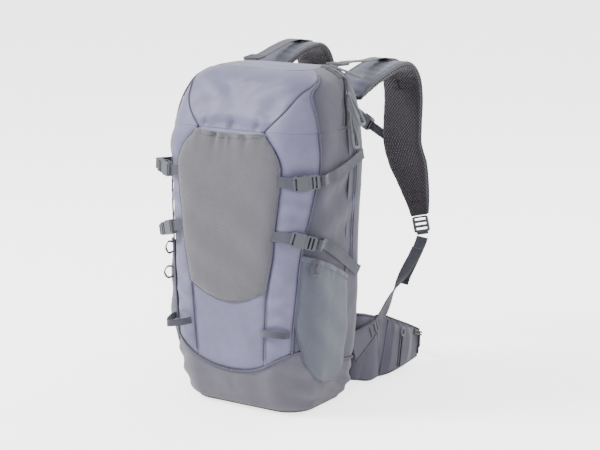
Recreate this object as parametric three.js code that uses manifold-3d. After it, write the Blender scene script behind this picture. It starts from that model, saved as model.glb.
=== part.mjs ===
// Hiking backpack of about 24 litres, with a padded shoulder harness and a hip belt.
// Millimetres, +Z up. The front faces -Y, the harness side faces +Y and +X is the wearer's right.
// The origin is on the ground, below the middle of the bag.
import * as THREE from 'three';
import { mergeVertices } from 'three/addons/utils/BufferGeometryUtils.js';
import Module from 'manifold-3d';

const wasm = await Module();
wasm.setup();

// ---------------------------------------------------------------- driving dimensions
const BAG_HEIGHT = 494;
const BAG_WIDTH = 260;
const BAG_FRONT = 89;          // from the origin to the front face
const BAG_BACK = 88;           // from the origin to the back face
const FABRIC = 3;              // wall of the bag, lining and padding included
const GAP = 0.3;               // left between two pieces that touch

const BOOT_TOP = 76;           // upper edge of the base boot
const FRONT_SEAM = 62;         // half the width of the front panel
const BACK_SEAM = 60;          // where the side panels meet the back panel
const HOOD_SEAM = 409;         // fold line of the hood above the front pocket

const POCKET_CLOTH = 2.4;      // stretch cloth of the pockets with its binding
const FRONT_POCKET_DEPTH = 8.6;
const SIDE_POCKET_DEPTH = 9;
const POCKET_TOP = 406;
const POCKET_SPREAD = BAG_WIDTH / 260;    // 1 where the front pocket's outline is as drawn

const SHEET_THICKNESS = 1.6;   // stiff frame sheet inside the back panel
const PAD_THICKNESS = 11;      // back pads and lumbar pad
const PAD_WIDTH = 58;
const PAD_CENTRE = 42;
const PAD_LOW = 132;
const PAD_HIGH = 404;

const STRAP_WIDTH = 64;
const STRAP_THICKNESS = 12;
const STRAP_CENTRE = 78;       // from the middle of the bag to the middle of a strap
const STRAP_TIP_WIDTH = 28;
const STRAP_TIP_CENTRE = 105;
const LIFTER_CENTRE = BAG_WIDTH * 18 / 65;
const TAB_CLEAR = 3.39;        // between the hip wing's root and the end of the anchor tab
const STRAP_TAPER = 0.82;      // share of the strap that has its full width
const STRAP_LIFT = { r: 0, l: 20 };       // how much higher each strap arches than the side view
const TAB_HEIGHT = 90;         // where the strap's webbing meets its anchor tab

const STERNUM_HEIGHT = { r: 358, l: 402 };
const STERNUM_Y = 278.6;
const STERNUM_CLIP = [22, 16, 4];         // width, height and thickness

const WIDE_WEB = 20;           // webbing of the harness
const NARROW_WEB = 15;         // webbing of the compression straps
const WEB_THICKNESS = 1.5;
const SLIP = 0.5;              // clearance round webbing and inside buckles
const BUCKLE_THICKNESS = 8;
const BUCKLE_WALL = 2;
const SOCKET_LENGTH = 21;
const PRONG_LENGTH = 15;
const LOCK_THICKNESS = 3.6;
const LOCK_LENGTH = 25;
const WEB_OUT = NARROW_WEB * 0.08;        // wider webbing stands further off the curved side
const BUCKLE_OUT = WEB_OUT + WEB_THICKNESS / 2 + 1;
const BUCKLE_TURN = { r: 42, l: 64 };     // degrees round the front corner, from the side
const BUCKLE_REACH = { r: 5, l: 22 };     // how far a buckle's mouth is along its webbing

const BELT_HEIGHT = 104;       // lumbar pad at the bag
const WING_ROOT_HEIGHT = 98;
const WING_TIP_HEIGHT = 42;
const WING_THICKNESS = 10;
const WING_ROOT = [101, 150, 53];
const WING_TIP = [111, 268, 34];
const LUMBAR_MIDDLE = 67;
const BELT_Y = 304;
const BELT_Z = 34;
const BELT_OPEN = 2;           // between the prongs and the socket of the open belt buckle

const PULL_LENGTH = 48;
const PULL_WIDTH = 14;
const PULL_THICKNESS = 2.6;
const PULL_GAP = 0.5;
const PULL_HEEL = 3;           // the part of a pull that lies behind its eye
const PULL_EYE_WIDTH = PULL_WIDTH * 0.44;
const SLIDER = [8, 12, 4.6];   // width, length and height of a zip slider
const TOP_ZIP = [0.3, 0.16].map((share) => share * BAG_WIDTH);    // its closed and open ends
const TOP_ZIP_Y = 44;

const OUTER_REACH = 260;       // longer than anything that is cut

// Height, half width, front, back, front corner radius and back corner radius, as shares of
// the bag's height, width, front, back and of the two largest corner radii.
const FRONT_CORNER = 60;
const BACK_CORNER = 36;
const BAG_SHAPE = [
  [0.000, 0.335, 0.560, 0.720, 0.60, 0.80],
  [0.024, 0.385, 0.750, 0.890, 0.76, 0.92],
  [0.080, 0.425, 0.890, 0.965, 0.88, 0.97],
  [0.162, 0.450, 0.965, 1.000, 0.95, 1.00],
  [0.304, 0.472, 0.990, 1.000, 1.00, 1.00],
  [0.506, 0.478, 1.000, 1.000, 1.00, 1.00],
  [0.668, 0.494, 0.990, 1.000, 1.00, 1.00],
  [0.739, 0.500, 0.980, 1.000, 1.00, 1.00],
  [0.830, 0.486, 0.905, 1.000, 0.97, 1.00],
  [0.891, 0.460, 0.770, 0.990, 0.92, 0.98],
  [0.941, 0.410, 0.570, 0.965, 0.83, 0.94],
  [0.976, 0.330, 0.320, 0.910, 0.72, 0.90],
  [1.000, 0.190, -0.100, 0.750, 0.48, 0.72],
];

// ---------------------------------------------------------------- solids
const point = (x, y, z) => new THREE.Vector3(x, y, z);
const mix = (from, to, share) => from + (to - from) * share;

function solidFrom(geometry) {
  const bare = geometry.clone();
  bare.deleteAttribute('normal');
  bare.deleteAttribute('uv');
  const merged = mergeVertices(bare, 1e-4);
  return new wasm.Manifold(new wasm.Mesh({
    numProp: 3,
    vertProperties: new Float32Array(merged.attributes.position.array),
    triVerts: new Uint32Array(merged.index.array),
  }));
}

function geometryFrom(solid) {
  const mesh = solid.getMesh();
  const geometry = new THREE.BufferGeometry();
  geometry.setAttribute('position', new THREE.BufferAttribute(mesh.vertProperties, 3));
  geometry.setIndex(new THREE.BufferAttribute(mesh.triVerts, 1));
  geometry.computeVertexNormals();
  return geometry;
}

// A closed solid through a row of convex rings that all have the same number of points.
function loft(rings) {
  const count = rings[0].length;
  const last = (rings.length - 1) * count;
  const faces = [];
  for (let ring = 0; ring < rings.length - 1; ring += 1) {
    for (let i = 0; i < count; i += 1) {
      const a = ring * count + i;
      const b = ring * count + ((i + 1) % count);
      faces.push(a, b, b + count, a, b + count, a + count);
    }
  }
  for (let i = 1; i < count - 1; i += 1) {
    faces.push(0, i + 1, i);
    faces.push(last, last + i, last + i + 1);
  }
  const corners = rings.flat();
  let volume = 0;
  for (let i = 0; i < faces.length; i += 3) {
    const [a, b, c] = [0, 1, 2].map((k) => corners[faces[i + k]]);
    volume += a.dot(b.clone().cross(c));
  }
  if (volume < 0) {
    faces.reverse();
  }
  const geometry = new THREE.BufferGeometry();
  const places = corners.flatMap((corner) => corner.toArray());
  geometry.setAttribute('position', new THREE.Float32BufferAttribute(places, 3));
  geometry.setIndex(faces);
  return solidFrom(geometry);
}

function extrude(outline, depth) {
  const shape = new THREE.Shape(outline.map(([x, y]) => new THREE.Vector2(x, y)));
  return new THREE.ExtrudeGeometry(shape, { depth, bevelEnabled: false });
}

// Outline in Y and Z, extruded along X.
function prismAlongX(outline, from, to) {
  const turn = new THREE.Matrix4().makeBasis(point(0, 1, 0), point(0, 0, 1), point(1, 0, 0));
  return solidFrom(extrude(outline, to - from).applyMatrix4(turn.setPosition(from, 0, 0)));
}

// Outline in X and Z, extruded along Y.
function prismAlongY(outline, from, to) {
  const turn = new THREE.Matrix4().makeBasis(point(1, 0, 0), point(0, 0, 1), point(0, -1, 0));
  return solidFrom(extrude(outline, to - from).applyMatrix4(turn.setPosition(0, to, 0)));
}

function boxBetween(low, high) {
  const size = high.map((value, axis) => value - low[axis]);
  const middle = high.map((value, axis) => (value + low[axis]) / 2);
  return solidFrom(new THREE.BoxGeometry(...size).translate(...middle));
}

const rectangle = (x, y, width, height) => [
  [x - width / 2, y - height / 2],
  [x + width / 2, y - height / 2],
  [x + width / 2, y + height / 2],
  [x - width / 2, y + height / 2],
];

function roundedRectangle(width, height, radius, steps = 4) {
  const outline = [];
  const corners = [[1, 1, 0], [-1, 1, 90], [-1, -1, 180], [1, -1, 270]];
  for (const [sideX, sideY, start] of corners) {
    for (let i = 0; i <= steps; i += 1) {
      const angle = THREE.MathUtils.degToRad(start + (90 * i) / steps);
      const x = sideX * (width / 2 - radius) + radius * Math.cos(angle);
      const y = sideY * (height / 2 - radius) + radius * Math.sin(angle);
      outline.push([x, y]);
    }
  }
  return outline;
}

// A band of cloth or padding along a path. across gives its width direction, and width and
// thickness are numbers or functions of the share of the path that lies behind the point.
function band({ path, across, width, thickness, steps, edge = 0 }) {
  const read = (value, share) => (typeof value === 'function' ? value(share) : value);
  const curve = new THREE.CatmullRomCurve3(path, false, 'centripetal');
  const rings = [];
  for (let i = 0; i <= steps; i += 1) {
    const share = i / steps;
    const centre = curve.getPointAt(share);
    const along = curve.getTangentAt(share);
    const wide = read(across, share);
    const side = wide.clone().addScaledVector(along, -along.dot(wide)).normalize();
    const up = along.clone().cross(side);
    const half = read(width, share) / 2;
    const thick = read(thickness, share) / 2;
    const section = edge
      ? [[-1, -edge], [-1, edge], [-0.9, 1], [0.9, 1], [1, edge], [1, -edge], [0.9, -1], [-0.9, -1]]
      : [[-1, -1], [-1, 1], [1, 1], [1, -1]];
    rings.push(section.map(([s, t]) => (
      centre.clone().addScaledVector(side, s * half).addScaledVector(up, t * thick))));
  }
  return loft(rings);
}

const backpack = new THREE.Group();

function addPart(name, solid, [colour, roughness, metalness = 0], place = new THREE.Matrix4()) {
  const material = new THREE.MeshStandardMaterial({ color: colour, roughness, metalness });
  const mesh = new THREE.Mesh(geometryFrom(solid), material);
  mesh.name = name;
  mesh.applyMatrix4(place);
  backpack.add(mesh);
}

const SIDES = [['r', 1], ['l', -1]];
const SATIN = [0x9496a6, 0.45];
const SIDE_CLOTH = [0x7d7a84, 0.8];
const STRETCH = [0x8a8c90, 0.9];
const SIDE_STRETCH = [0x828a94, 0.9];
const BASE_CLOTH = [0x807e88, 0.75];
const MESH_CLOTH = [0x4b464b, 0.95];
const PADDING = [0x878a9b, 0.8];
const WEBBING = [0x73767f, 0.85];
const PLASTIC = [0x787c80, 0.4];
const SHEET = [0x2c2d30, 0.5];
const METAL = [0x8b8e92, 0.35, 0.8];

// ---------------------------------------------------------------- the bag's shape
function bagAt(height) {
  const share = THREE.MathUtils.clamp(height / BAG_HEIGHT, 0, 1);
  const above = Math.max(1, BAG_SHAPE.findIndex((row) => row[0] >= share));
  const low = BAG_SHAPE[above - 1];
  const high = BAG_SHAPE[above];
  const part = (share - low[0]) / (high[0] - low[0]);
  const row = low.map((value, column) => mix(value, high[column], part));
  return {
    half: row[1] * BAG_WIDTH,
    front: -row[2] * BAG_FRONT,
    back: row[3] * BAG_BACK,
    frontRadius: row[4] * FRONT_CORNER,
    backRadius: row[5] * BACK_CORNER,
  };
}

function bagOutline(shape, height, offset) {
  const { half, front, back, frontRadius, backRadius } = shape;
  const corners = [
    [-half + frontRadius, front + frontRadius, frontRadius, 180, 6],
    [half - frontRadius, front + frontRadius, frontRadius, 270, 6],
    [half - backRadius, back - backRadius, backRadius, 0, 4],
    [-half + backRadius, back - backRadius, backRadius, 90, 4],
  ];
  const outline = [];
  for (const [x, y, radius, start, steps] of corners) {
    for (let i = 0; i <= steps; i += 1) {
      const angle = THREE.MathUtils.degToRad(start + (90 * i) / steps);
      const reach = radius + offset;
      outline.push(point(x + reach * Math.cos(angle), y + reach * Math.sin(angle), height));
    }
  }
  return outline;
}

// The bag as one solid, grown or shrunk by an offset.
function bagSolid(offset) {
  const last = BAG_SHAPE.length - 1;
  return loft(BAG_SHAPE.map((row, index) => {
    const height = row[0] * BAG_HEIGHT;
    const lift = { 0: -offset, [last]: offset }[index] ?? 0;
    return bagOutline(bagAt(height), height + lift, offset);
  }));
}

// A point on a front corner. turn is 0 where the side starts and 90 where the front starts.
function cornerPoint(height, turn, side, out) {
  const shape = bagAt(height);
  const angle = THREE.MathUtils.degToRad(turn);
  const reach = shape.frontRadius + out;
  const x = shape.half - shape.frontRadius + reach * Math.cos(angle);
  return point(side * x, shape.front + shape.frontRadius - reach * Math.sin(angle), height);
}

const sidePoint = (height, y, side, out) => point(side * (bagAt(height).half + out), y, height);

// Where the back corner's surface is at a distance x from the middle.
function backSurface(height, x) {
  const { half, back, backRadius } = bagAt(height);
  const inCorner = Math.max(0, x - (half - backRadius));
  return back - backRadius + Math.sqrt(backRadius ** 2 - inCorner ** 2);
}

// The height of the bag's top over a point, found by halving.
function topSurface(x, y) {
  let low = BAG_HEIGHT / 2;
  let high = BAG_HEIGHT;
  for (let i = 0; i < 24; i += 1) {
    const middle = (low + high) / 2;
    const { half, front } = bagAt(middle);
    const inside = x < half && y > front && y < backSurface(middle, x);
    [low, high] = inside ? [middle, high] : [low, middle];
  }
  return low;
}

// Side views of the seams, as points in Y and Z.
const ZIP_LINE = [
  [20, HOOD_SEAM],
  [28, BAG_HEIGHT * 0.903],
  [BACK_SEAM, BAG_HEIGHT * 0.98],
];
const SIDE_SEAM = [
  [-BAG_FRONT + 2, 0],
  [-BAG_FRONT + 2, 134],
  [-BAG_FRONT + 7, 237],
  [-50, 366],
  [-42, 424],
  [-30, BAG_HEIGHT],
];

const zipY = (height) => {
  const above = Math.max(1, ZIP_LINE.findIndex(([, z]) => z >= height));
  const [low, high] = [ZIP_LINE[above - 1], ZIP_LINE[above]];
  return mix(low[0], high[0], (height - low[1]) / (high[1] - low[1]));
};

const behind = (line, shift) => prismAlongX([
  ...line.map(([y, z]) => [y + shift, z]),
  [line.at(-1)[0] + shift, BAG_HEIGHT + OUTER_REACH],
  [OUTER_REACH, BAG_HEIGHT + OUTER_REACH],
  [OUTER_REACH, line[0][1]],
], -OUTER_REACH, OUTER_REACH);

const slab = (axis, from, to) => {
  const low = [-OUTER_REACH, -OUTER_REACH, -OUTER_REACH];
  const high = [OUTER_REACH, OUTER_REACH, 2 * BAG_HEIGHT];
  low[axis] = from ?? low[axis];
  high[axis] = to ?? high[axis];
  return boxBetween(low, high);
};

function buildBag() {
  const shell = bagSolid(0).subtract(bagSolid(-FABRIC));
  const lid = (grow) => prismAlongX([
    [-OUTER_REACH, HOOD_SEAM - grow],
    ...ZIP_LINE.map(([y, z], i) => [y + grow, i ? z : z - grow]),
    [BACK_SEAM + grow, BAG_HEIGHT + OUTER_REACH],
    [-OUTER_REACH, BAG_HEIGHT + OUTER_REACH],
  ], -OUTER_REACH, OUTER_REACH);
  addPart('hood', shell.intersect(lid(0)), SATIN);
  addPart('base_boot', shell.intersect(slab(2, null, BOOT_TOP)), BASE_CLOTH);
  const walls = shell.intersect(slab(2, BOOT_TOP + GAP, null)).subtract(lid(GAP));
  addPart('back_panel', walls.intersect(slab(1, BACK_SEAM + GAP, null)), SIDE_CLOTH);
  const ahead = walls.intersect(slab(1, null, BACK_SEAM));
  addPart('front_panel', ahead.intersect(boxBetween(
    [-FRONT_SEAM, -OUTER_REACH, 0],
    [FRONT_SEAM, 0, BAG_HEIGHT],
  )), SATIN);
  for (const [name, side] of SIDES) {
    const from = side > 0 ? FRONT_SEAM + GAP : -OUTER_REACH;
    const to = side > 0 ? OUTER_REACH : -FRONT_SEAM - GAP;
    const half = ahead.intersect(slab(0, from, to));
    addPart(`corner_strip_${name}`, half.subtract(behind(SIDE_SEAM, 0)), SATIN);
    addPart(`side_panel_${name}`, half.intersect(behind(SIDE_SEAM, GAP)), SIDE_CLOTH);
  }
}

// ---------------------------------------------------------------- pockets
const frontPocketOutline = (inset) => {
  const upper = [
    [60, POCKET_TOP], [77, 388], [92, 361], [95, 324], [87, 232], [71, 196], [42, 172], [0, 164],
  ];
  const spread = upper.map(([x, z]) => [x * POCKET_SPREAD, z]);
  const right = spread.map(([x, z]) => [x - (x ? inset : 0), z + (z < 200 ? inset : 0)]);
  const left = right.slice(0, -1).reverse().map(([x, z]) => [-x, z]);
  return [...right, ...left].reverse();
};

const sidePocketOutline = (inset) => [
  [-82 + inset, 236],
  [-84 + inset, 134],
  [-72 + inset, 80 + inset],
  [-58 + inset, 60 + inset],
  [-29, 44 + inset],
  [26 - inset, 36 + inset],
  [28 - inset, 190],
];

// A pocket is a tray: cloth that stands off the bag by its depth and closes round its edge.
function pocket(outline, depth, mouth) {
  const tray = bagSolid(depth + POCKET_CLOTH).subtract(bagSolid(GAP)).intersect(outline(0));
  const hollow = bagSolid(depth).intersect(outline(POCKET_CLOTH).add(mouth));
  return tray.subtract(hollow);
}

function buildPockets() {
  const front = (inset) => prismAlongY(frontPocketOutline(inset), -OUTER_REACH, 0);
  const frontMouth = boxBetween(
    [-60 + POCKET_CLOTH, -OUTER_REACH, POCKET_TOP - 20],
    [60 - POCKET_CLOTH, 0, POCKET_TOP + 20],
  );
  addPart('front_pocket', pocket(front, FRONT_POCKET_DEPTH, frontMouth), STRETCH);
  for (const [name, side] of SIDES) {
    const beyond = (outline, inset) => {
      const [from, to] = [BAG_WIDTH / 2 - 28 + inset, OUTER_REACH];
      return side > 0 ? prismAlongX(outline, from, to) : prismAlongX(outline, -to, -from);
    };
    const flank = (inset) => beyond(sidePocketOutline(inset), inset);
    const mouth = beyond([
      [-82 + POCKET_CLOTH, 200],
      [28 - POCKET_CLOTH, 160],
      [28 - POCKET_CLOTH, 220],
      [-82 + POCKET_CLOTH, 260],
    ], POCKET_CLOTH);
    addPart(`side_pocket_${name}`, pocket(flank, SIDE_POCKET_DEPTH, mouth), SIDE_STRETCH);
  }
}

// ---------------------------------------------------------------- back system
function buildBack() {
  const [sheetLow, sheetHigh] = [BOOT_TOP + 8, HOOD_SEAM - 4];
  const sheetBack = bagAt(sheetLow).back - FABRIC - GAP;
  const sheet = roundedRectangle(2 * (bagAt(sheetLow).half - BACK_CORNER - 1), sheetHigh - sheetLow, 20);
  const sheetMiddle = (sheetLow + sheetHigh) / 2;
  addPart('frame_sheet', prismAlongY(
    sheet.map(([x, z]) => [x, z + sheetMiddle]),
    sheetBack - SHEET_THICKNESS,
    sheetBack,
  ), SHEET);
  const padOutline = roundedRectangle(PAD_WIDTH, PAD_HIGH - PAD_LOW, 16);
  for (const [name, side] of SIDES) {
    const outline = padOutline.map(([x, z]) => [x + side * PAD_CENTRE, z + (PAD_HIGH + PAD_LOW) / 2]);
    const pad = prismAlongY(outline, BAG_BACK + GAP, BAG_BACK + GAP + PAD_THICKNESS);
    addPart(`back_pad_${name}`, pad, MESH_CLOTH);
  }
  const padBack = BAG_BACK + 1 + PAD_THICKNESS / 2;
  const [rootX, rootY, rootZ] = WING_ROOT;
  const bend = [
    [rootX, rootY - GAP, rootZ], [rootX, rootY - 8, rootZ], [97, 125, 58], [89, 105, 64],
    [70, padBack + 2, LUMBAR_MIDDLE], [50, padBack, LUMBAR_MIDDLE],
  ];
  const mirrored = bend.map(([x, y, z]) => [-x, y, z]).reverse();
  addPart('lumbar_pad', band({
    path: [...bend, [0, padBack, LUMBAR_MIDDLE], ...mirrored].map((p) => point(...p)),
    across: point(0, 0, 1),
    width: (share) => mix(BELT_HEIGHT, WING_ROOT_HEIGHT, Math.abs(2 * share - 1) ** 2),
    thickness: (share) => mix(PAD_THICKNESS, WING_THICKNESS, Math.abs(2 * share - 1)),
    steps: 26,
    edge: 0.5,
  }), MESH_CLOTH);
  const loop = [[32, BAG_BACK + 3, 464], [31, BAG_BACK + 3.4, 446], [22, BAG_BACK + 3.8, 430]];
  const loopLeft = loop.map(([x, y, z]) => [-x, y, z]).reverse();
  addPart('haul_loop', band({
    path: [...loop, [0, BAG_BACK + 4, 424], ...loopLeft].map((p) => point(...p)),
    across: (share) => point(Math.cos(Math.PI * share), 0, Math.sin(Math.PI * share)),
    width: 11,
    thickness: 3.4,
    steps: 20,
  }), WEBBING);
}

// ---------------------------------------------------------------- buckles and ladder locks
// Every fitting lies on its own ground plane: X runs along the webbing, Y across it and Z away
// from the bag. A buckle's origin is in the mouth of its socket.
function fittingFrame(origin, along, outward) {
  const x = along.clone().normalize();
  const z = outward.clone().addScaledVector(x, -outward.dot(x)).normalize();
  const y = z.clone().cross(x);
  return new THREE.Matrix4().makeBasis(x, y, z).setPosition(origin);
}

// A flat plate with holes right through it.
function plate(outline, thickness, holes = [], base = 0) {
  const cutter = (hole) => solidFrom(extrude(hole, thickness + 2).translate(0, 0, base - 1));
  const blank = solidFrom(extrude(outline, thickness).translate(0, 0, base));
  return holes.reduce((solid, hole) => solid.subtract(cutter(hole)), blank);
}

function buckleSocket(web) {
  const half = web / 2 + BUCKLE_WALL + 1;
  const outline = [
    [-SOCKET_LENGTH, -half + 2],
    [-SOCKET_LENGTH + 4, -half],
    [-2, -half],
    [0, -half + 1.5],
    [0, half - 1.5],
    [-2, half],
    [-SOCKET_LENGTH + 4, half],
    [-SOCKET_LENGTH, half - 2],
  ];
  const slot = rectangle(-SOCKET_LENGTH + 3.2, 0, 2.6, web + 2 * SLIP);
  const hollow = web / 2 + 1;
  const body = plate(outline, BUCKLE_THICKNESS, [slot]);
  const cavity = boxBetween([-PRONG_LENGTH - 1, -hollow, 1.7], [1, hollow, BUCKLE_THICKNESS - 1.7]);
  const window = boxBetween([-PRONG_LENGTH + 1, -half - 1, 1.7], [-5, half + 1, BUCKLE_THICKNESS - 1.7]);
  return body.subtract(cavity).subtract(window);
}

function bucklePlug(web) {
  const half = web / 2 + BUCKLE_WALL;
  const length = 15;
  const slots = [5.6, 11].map((x) => rectangle(x, 0, 2.8, web + 2 * SLIP));
  const outline = [
    [SLIP, -half + 1], [2, -half], [length, -half], [length + 1.5, -half + 2],
    [length + 1.5, half - 2], [length, half], [2, half], [SLIP, half - 1],
  ];
  const body = plate(outline, BUCKLE_THICKNESS - 2, slots, 1);
  const inner = web / 2 + 1 - SLIP;
  const prong = (side) => plate([
    [-PRONG_LENGTH, side * (inner - 2.2)],
    [-PRONG_LENGTH + 2.5, side * inner],
    [2, side * inner],
    [2, side * (inner - 2.8)],
    [-PRONG_LENGTH, side * (inner - 2.8)],
  ], BUCKLE_THICKNESS - 4.4, [], 2.2);
  const guide = boxBetween([-PRONG_LENGTH + 6, -1.3, 2.2], [2, 1.3, BUCKLE_THICKNESS - 2.2]);
  return body.add(prong(1)).add(prong(-1)).add(guide);
}

function ladderLock(web) {
  const outline = roundedRectangle(LOCK_LENGTH, web + 7, 3, 2).map(([x, y]) => [x + LOCK_LENGTH / 2, y]);
  const slots = [4.5, 12, 19.5].map((x) => rectangle(x, 0, 3.4, web + 2 * SLIP));
  const lip = boxBetween([LOCK_LENGTH - 2.4, -web / 2, 1], [LOCK_LENGTH + 4, web / 2, LOCK_THICKNESS - 1]);
  return plate(outline, LOCK_THICKNESS, slots).add(lip);
}

// ---------------------------------------------------------------- compression straps
// Heights of the sewn tab, the buckle and the three points that the webbing passes, front to back.
const COMPRESSION = {
  upper: [343, 346, 356, 364],
  lower: [262, 250, 222, 205],
};

function buildCompression() {
  for (const [name, side] of SIDES) {
    for (const [level, [buckle, front, middle, rear]] of Object.entries(COMPRESSION)) {
      const turn = BUCKLE_TURN[name];
      const touch = cornerPoint(buckle, turn, side, 0);
      const outward = cornerPoint(buckle, turn, side, 1).sub(touch);
      const flat = outward.clone().cross(point(0, 0, 1)).multiplyScalar(-side);
      const along = flat.add(point(0, 0, level === 'upper' ? 0.08 : -0.3)).normalize();
      const origin = touch.clone().addScaledVector(outward, BUCKLE_OUT);
      origin.addScaledVector(along, BUCKLE_REACH[name]);
      const place = fittingFrame(origin, along, outward);
      addPart(`compression_socket_${level}_${name}`, buckleSocket(NARROW_WEB), PLASTIC, place);
      addPart(`compression_plug_${level}_${name}`, bucklePlug(NARROW_WEB), PLASTIC, place);
      const end = origin.clone().addScaledVector(along, SOCKET_LENGTH + SLIP);
      end.addScaledVector(outward, BUCKLE_THICKNESS / 2);
      const path = [
        end,
        cornerPoint(mix(buckle, front, 0.7), 12, side, WEB_OUT + 2),
        sidePoint(front, bagAt(front).front + FRONT_CORNER + 2, side, WEB_OUT),
        sidePoint(middle, 15, side, WEB_OUT),
        sidePoint(rear, 44, side, WEB_OUT),
      ];
      addPart(`compression_web_${level}_${name}`, band({
        path,
        across: point(0, 0, 1),
        width: NARROW_WEB,
        thickness: WEB_THICKNESS,
        steps: 18,
      }), WEBBING);
    }
  }
}

// Webbing loops for a tool, one on each corner strip.
function buildToolLoops() {
  const loops = {
    r: [[93, 2, -3], [84, 8, 0], [72, 10, 1], [62, 8, 0], [56, 2, -1]],
    l: [[88, 2, 0], [80, 12, -2], [68, 19, -5], [58, 12, -2], [56, 2, 0]],
  };
  for (const [name, side] of SIDES) {
    addPart(`tool_loop_${name}`, band({
      path: loops[name].map(([turn, out, drop]) => cornerPoint(122 + drop, turn, side, out)),
      across: point(0, 0, 1),
      width: 10,
      thickness: 1.5,
      steps: 14,
    }), WEBBING);
  }
}

// ---------------------------------------------------------------- shoulder straps
// Y, Z and the share of its lift that a point takes.
const STRAP_SIDE_VIEW = [
  [BAG_BACK + 4.5, 440, 0], [130, 456, 0.7], [166, 466, 1], [210, 475, 1], [240, 472, 1], [262, 452, 0.8],
  [270, 420, 0], [268, 380, 0], [270, 345, 0], [278, 300, 0], [281, 262, 0], [280, 236, 0],
];
const strapX = (height, order) => (
  order < 8 ? STRAP_CENTRE : mix(STRAP_CENTRE, STRAP_TIP_CENTRE, (345 - height) / (345 - 236)));

function strapPath(side, lift) {
  return STRAP_SIDE_VIEW.map(([y, z, share], order) => point(side * strapX(z, order), y, z + share * lift));
}

function buildStraps() {
  for (const [name, side] of SIDES) {
    const lift = STRAP_LIFT[name];
    const path = strapPath(side, lift);
    addPart(`shoulder_strap_${name}`, band({
      path,
      across: point(1, 0, 0),
      width: (share) => mix(STRAP_WIDTH, STRAP_TIP_WIDTH, Math.max(0, share - STRAP_TAPER) / (1 - STRAP_TAPER)),
      thickness: (share) => Math.min(STRAP_THICKNESS, 5 + share * 90, 5 + (1 - share) * 90),
      steps: 34,
      edge: 0.55,
    }), PADDING);

    const top = topSurface(LIFTER_CENTRE, 70);
    const lifterStart = point(side * LIFTER_CENTRE, 74, top + 4);
    const lifterEnd = point(side * 76, 222, 483.4 + lift);
    const lifterRun = lifterEnd.clone().sub(lifterStart);
    const lifterPlace = fittingFrame(lifterStart, lifterRun, point(0, 0, 1));
    addPart(`lifter_lock_${name}`, ladderLock(WIDE_WEB), PLASTIC, lifterPlace);
    const lockEnd = lifterStart.clone().addScaledVector(lifterRun.clone().normalize(), LOCK_LENGTH + 5);
    addPart(`lifter_web_${name}`, band({
      path: [lockEnd.setZ(lockEnd.z + 2), point(side * 74, 165, 481 + lift * 0.87), lifterEnd],
      across: point(1, 0, 0),
      width: WIDE_WEB,
      thickness: WEB_THICKNESS,
      steps: 10,
    }), WEBBING);

    const tip = path.at(-1);
    const down = tip.clone().sub(path.at(-2)).normalize();
    const lockTop = tip.clone().addScaledVector(down, 1.2).add(point(0, -LOCK_THICKNESS / 2, 0));
    const lockPlace = fittingFrame(lockTop, down, point(0, 1, 0));
    addPart(`strap_lock_${name}`, ladderLock(WIDE_WEB), PLASTIC, lockPlace);
    const steep = point(0, -0.57, 0.82);
    const webTop = lockTop.clone().addScaledVector(down, LOCK_LENGTH + 5.5);
    const tabX = bagAt(70).half - 12;
    const tabFoot = point(side * tabX, backSurface(94, tabX) + 1.6, 0);
    const tabEnd = point(side * (WING_ROOT[0] + WING_THICKNESS / 2 + TAB_CLEAR), 142, 0);
    const reach = tabEnd.distanceTo(tabFoot);
    const tabOutline = [
      [0, 44],
      [reach + steep.z * 8, TAB_HEIGHT - 9],
      [reach - steep.z * 8, TAB_HEIGHT + 9],
      [0, 94],
    ];
    const tabPlace = fittingFrame(tabFoot, tabEnd.clone().sub(tabFoot), point(1, 0, 0));
    addPart(`anchor_tab_${name}`, plate(tabOutline, 1.8, [], -0.9), SIDE_CLOTH, tabPlace);
    const webFoot = tabEnd.clone().setZ(TAB_HEIGHT).add(point(0, 1.4, 1));
    addPart(`strap_web_${name}`, band({
      path: [webFoot, point(side * 106, 196, 129), webTop],
      across: (share) => {
        const turned = THREE.MathUtils.smoothstep(share, 0.15, 0.75);
        return steep.clone().lerp(point(side, 0, 0), turned);
      },
      width: WIDE_WEB,
      thickness: WEB_THICKNESS,
      steps: 24,
    }), WEBBING);
  }
}

// ---------------------------------------------------------------- sternum strap
function buildSternum() {
  const clipX = STRAP_CENTRE - STRAP_WIDTH / 2 + 6;
  const ends = {};
  for (const [name, side] of SIDES) {
    const [width, height, depth] = STERNUM_CLIP;
    const slots = [rectangle(-side * 7.2, 0, 2.4, height - 5)];
    const clip = plate(roundedRectangle(width, height, 3, 2), depth, slots);
    const centre = point(side * clipX, STERNUM_Y, STERNUM_HEIGHT[name]);
    const place = new THREE.Matrix4().makeBasis(point(1, 0, 0), point(0, 0, -1), point(0, 1, 0));
    addPart(`sternum_clip_${name}`, clip, PLASTIC, place.setPosition(centre));
    ends[name] = centre.clone().add(point(-side * (width / 2 + 3.8), depth / 2, 0));
  }
  const along = ends.l.clone().sub(ends.r).normalize();
  const outward = point(0, 1, 0);
  const mouth = ends.r.clone().lerp(ends.l, 0.5).addScaledVector(along, 2);
  const origin = mouth.clone().addScaledVector(outward, -BUCKLE_THICKNESS / 2);
  const place = fittingFrame(origin, along, outward);
  addPart('sternum_buckle_socket', buckleSocket(NARROW_WEB), PLASTIC, place);
  addPart('sternum_buckle_plug', bucklePlug(NARROW_WEB), PLASTIC, place);
  const pieces = {
    r: [ends.r, mouth.clone().addScaledVector(along, -SOCKET_LENGTH - 0.6)],
    l: [mouth.clone().addScaledVector(along, 17.2), ends.l],
  };
  const across = outward.clone().cross(along);
  for (const [name, [from, to]] of Object.entries(pieces)) {
    addPart(`sternum_web_${name}`, band({
      path: [from, to],
      across,
      width: NARROW_WEB - 1,
      thickness: WEB_THICKNESS,
      steps: 2,
    }), WEBBING);
  }
}

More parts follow.
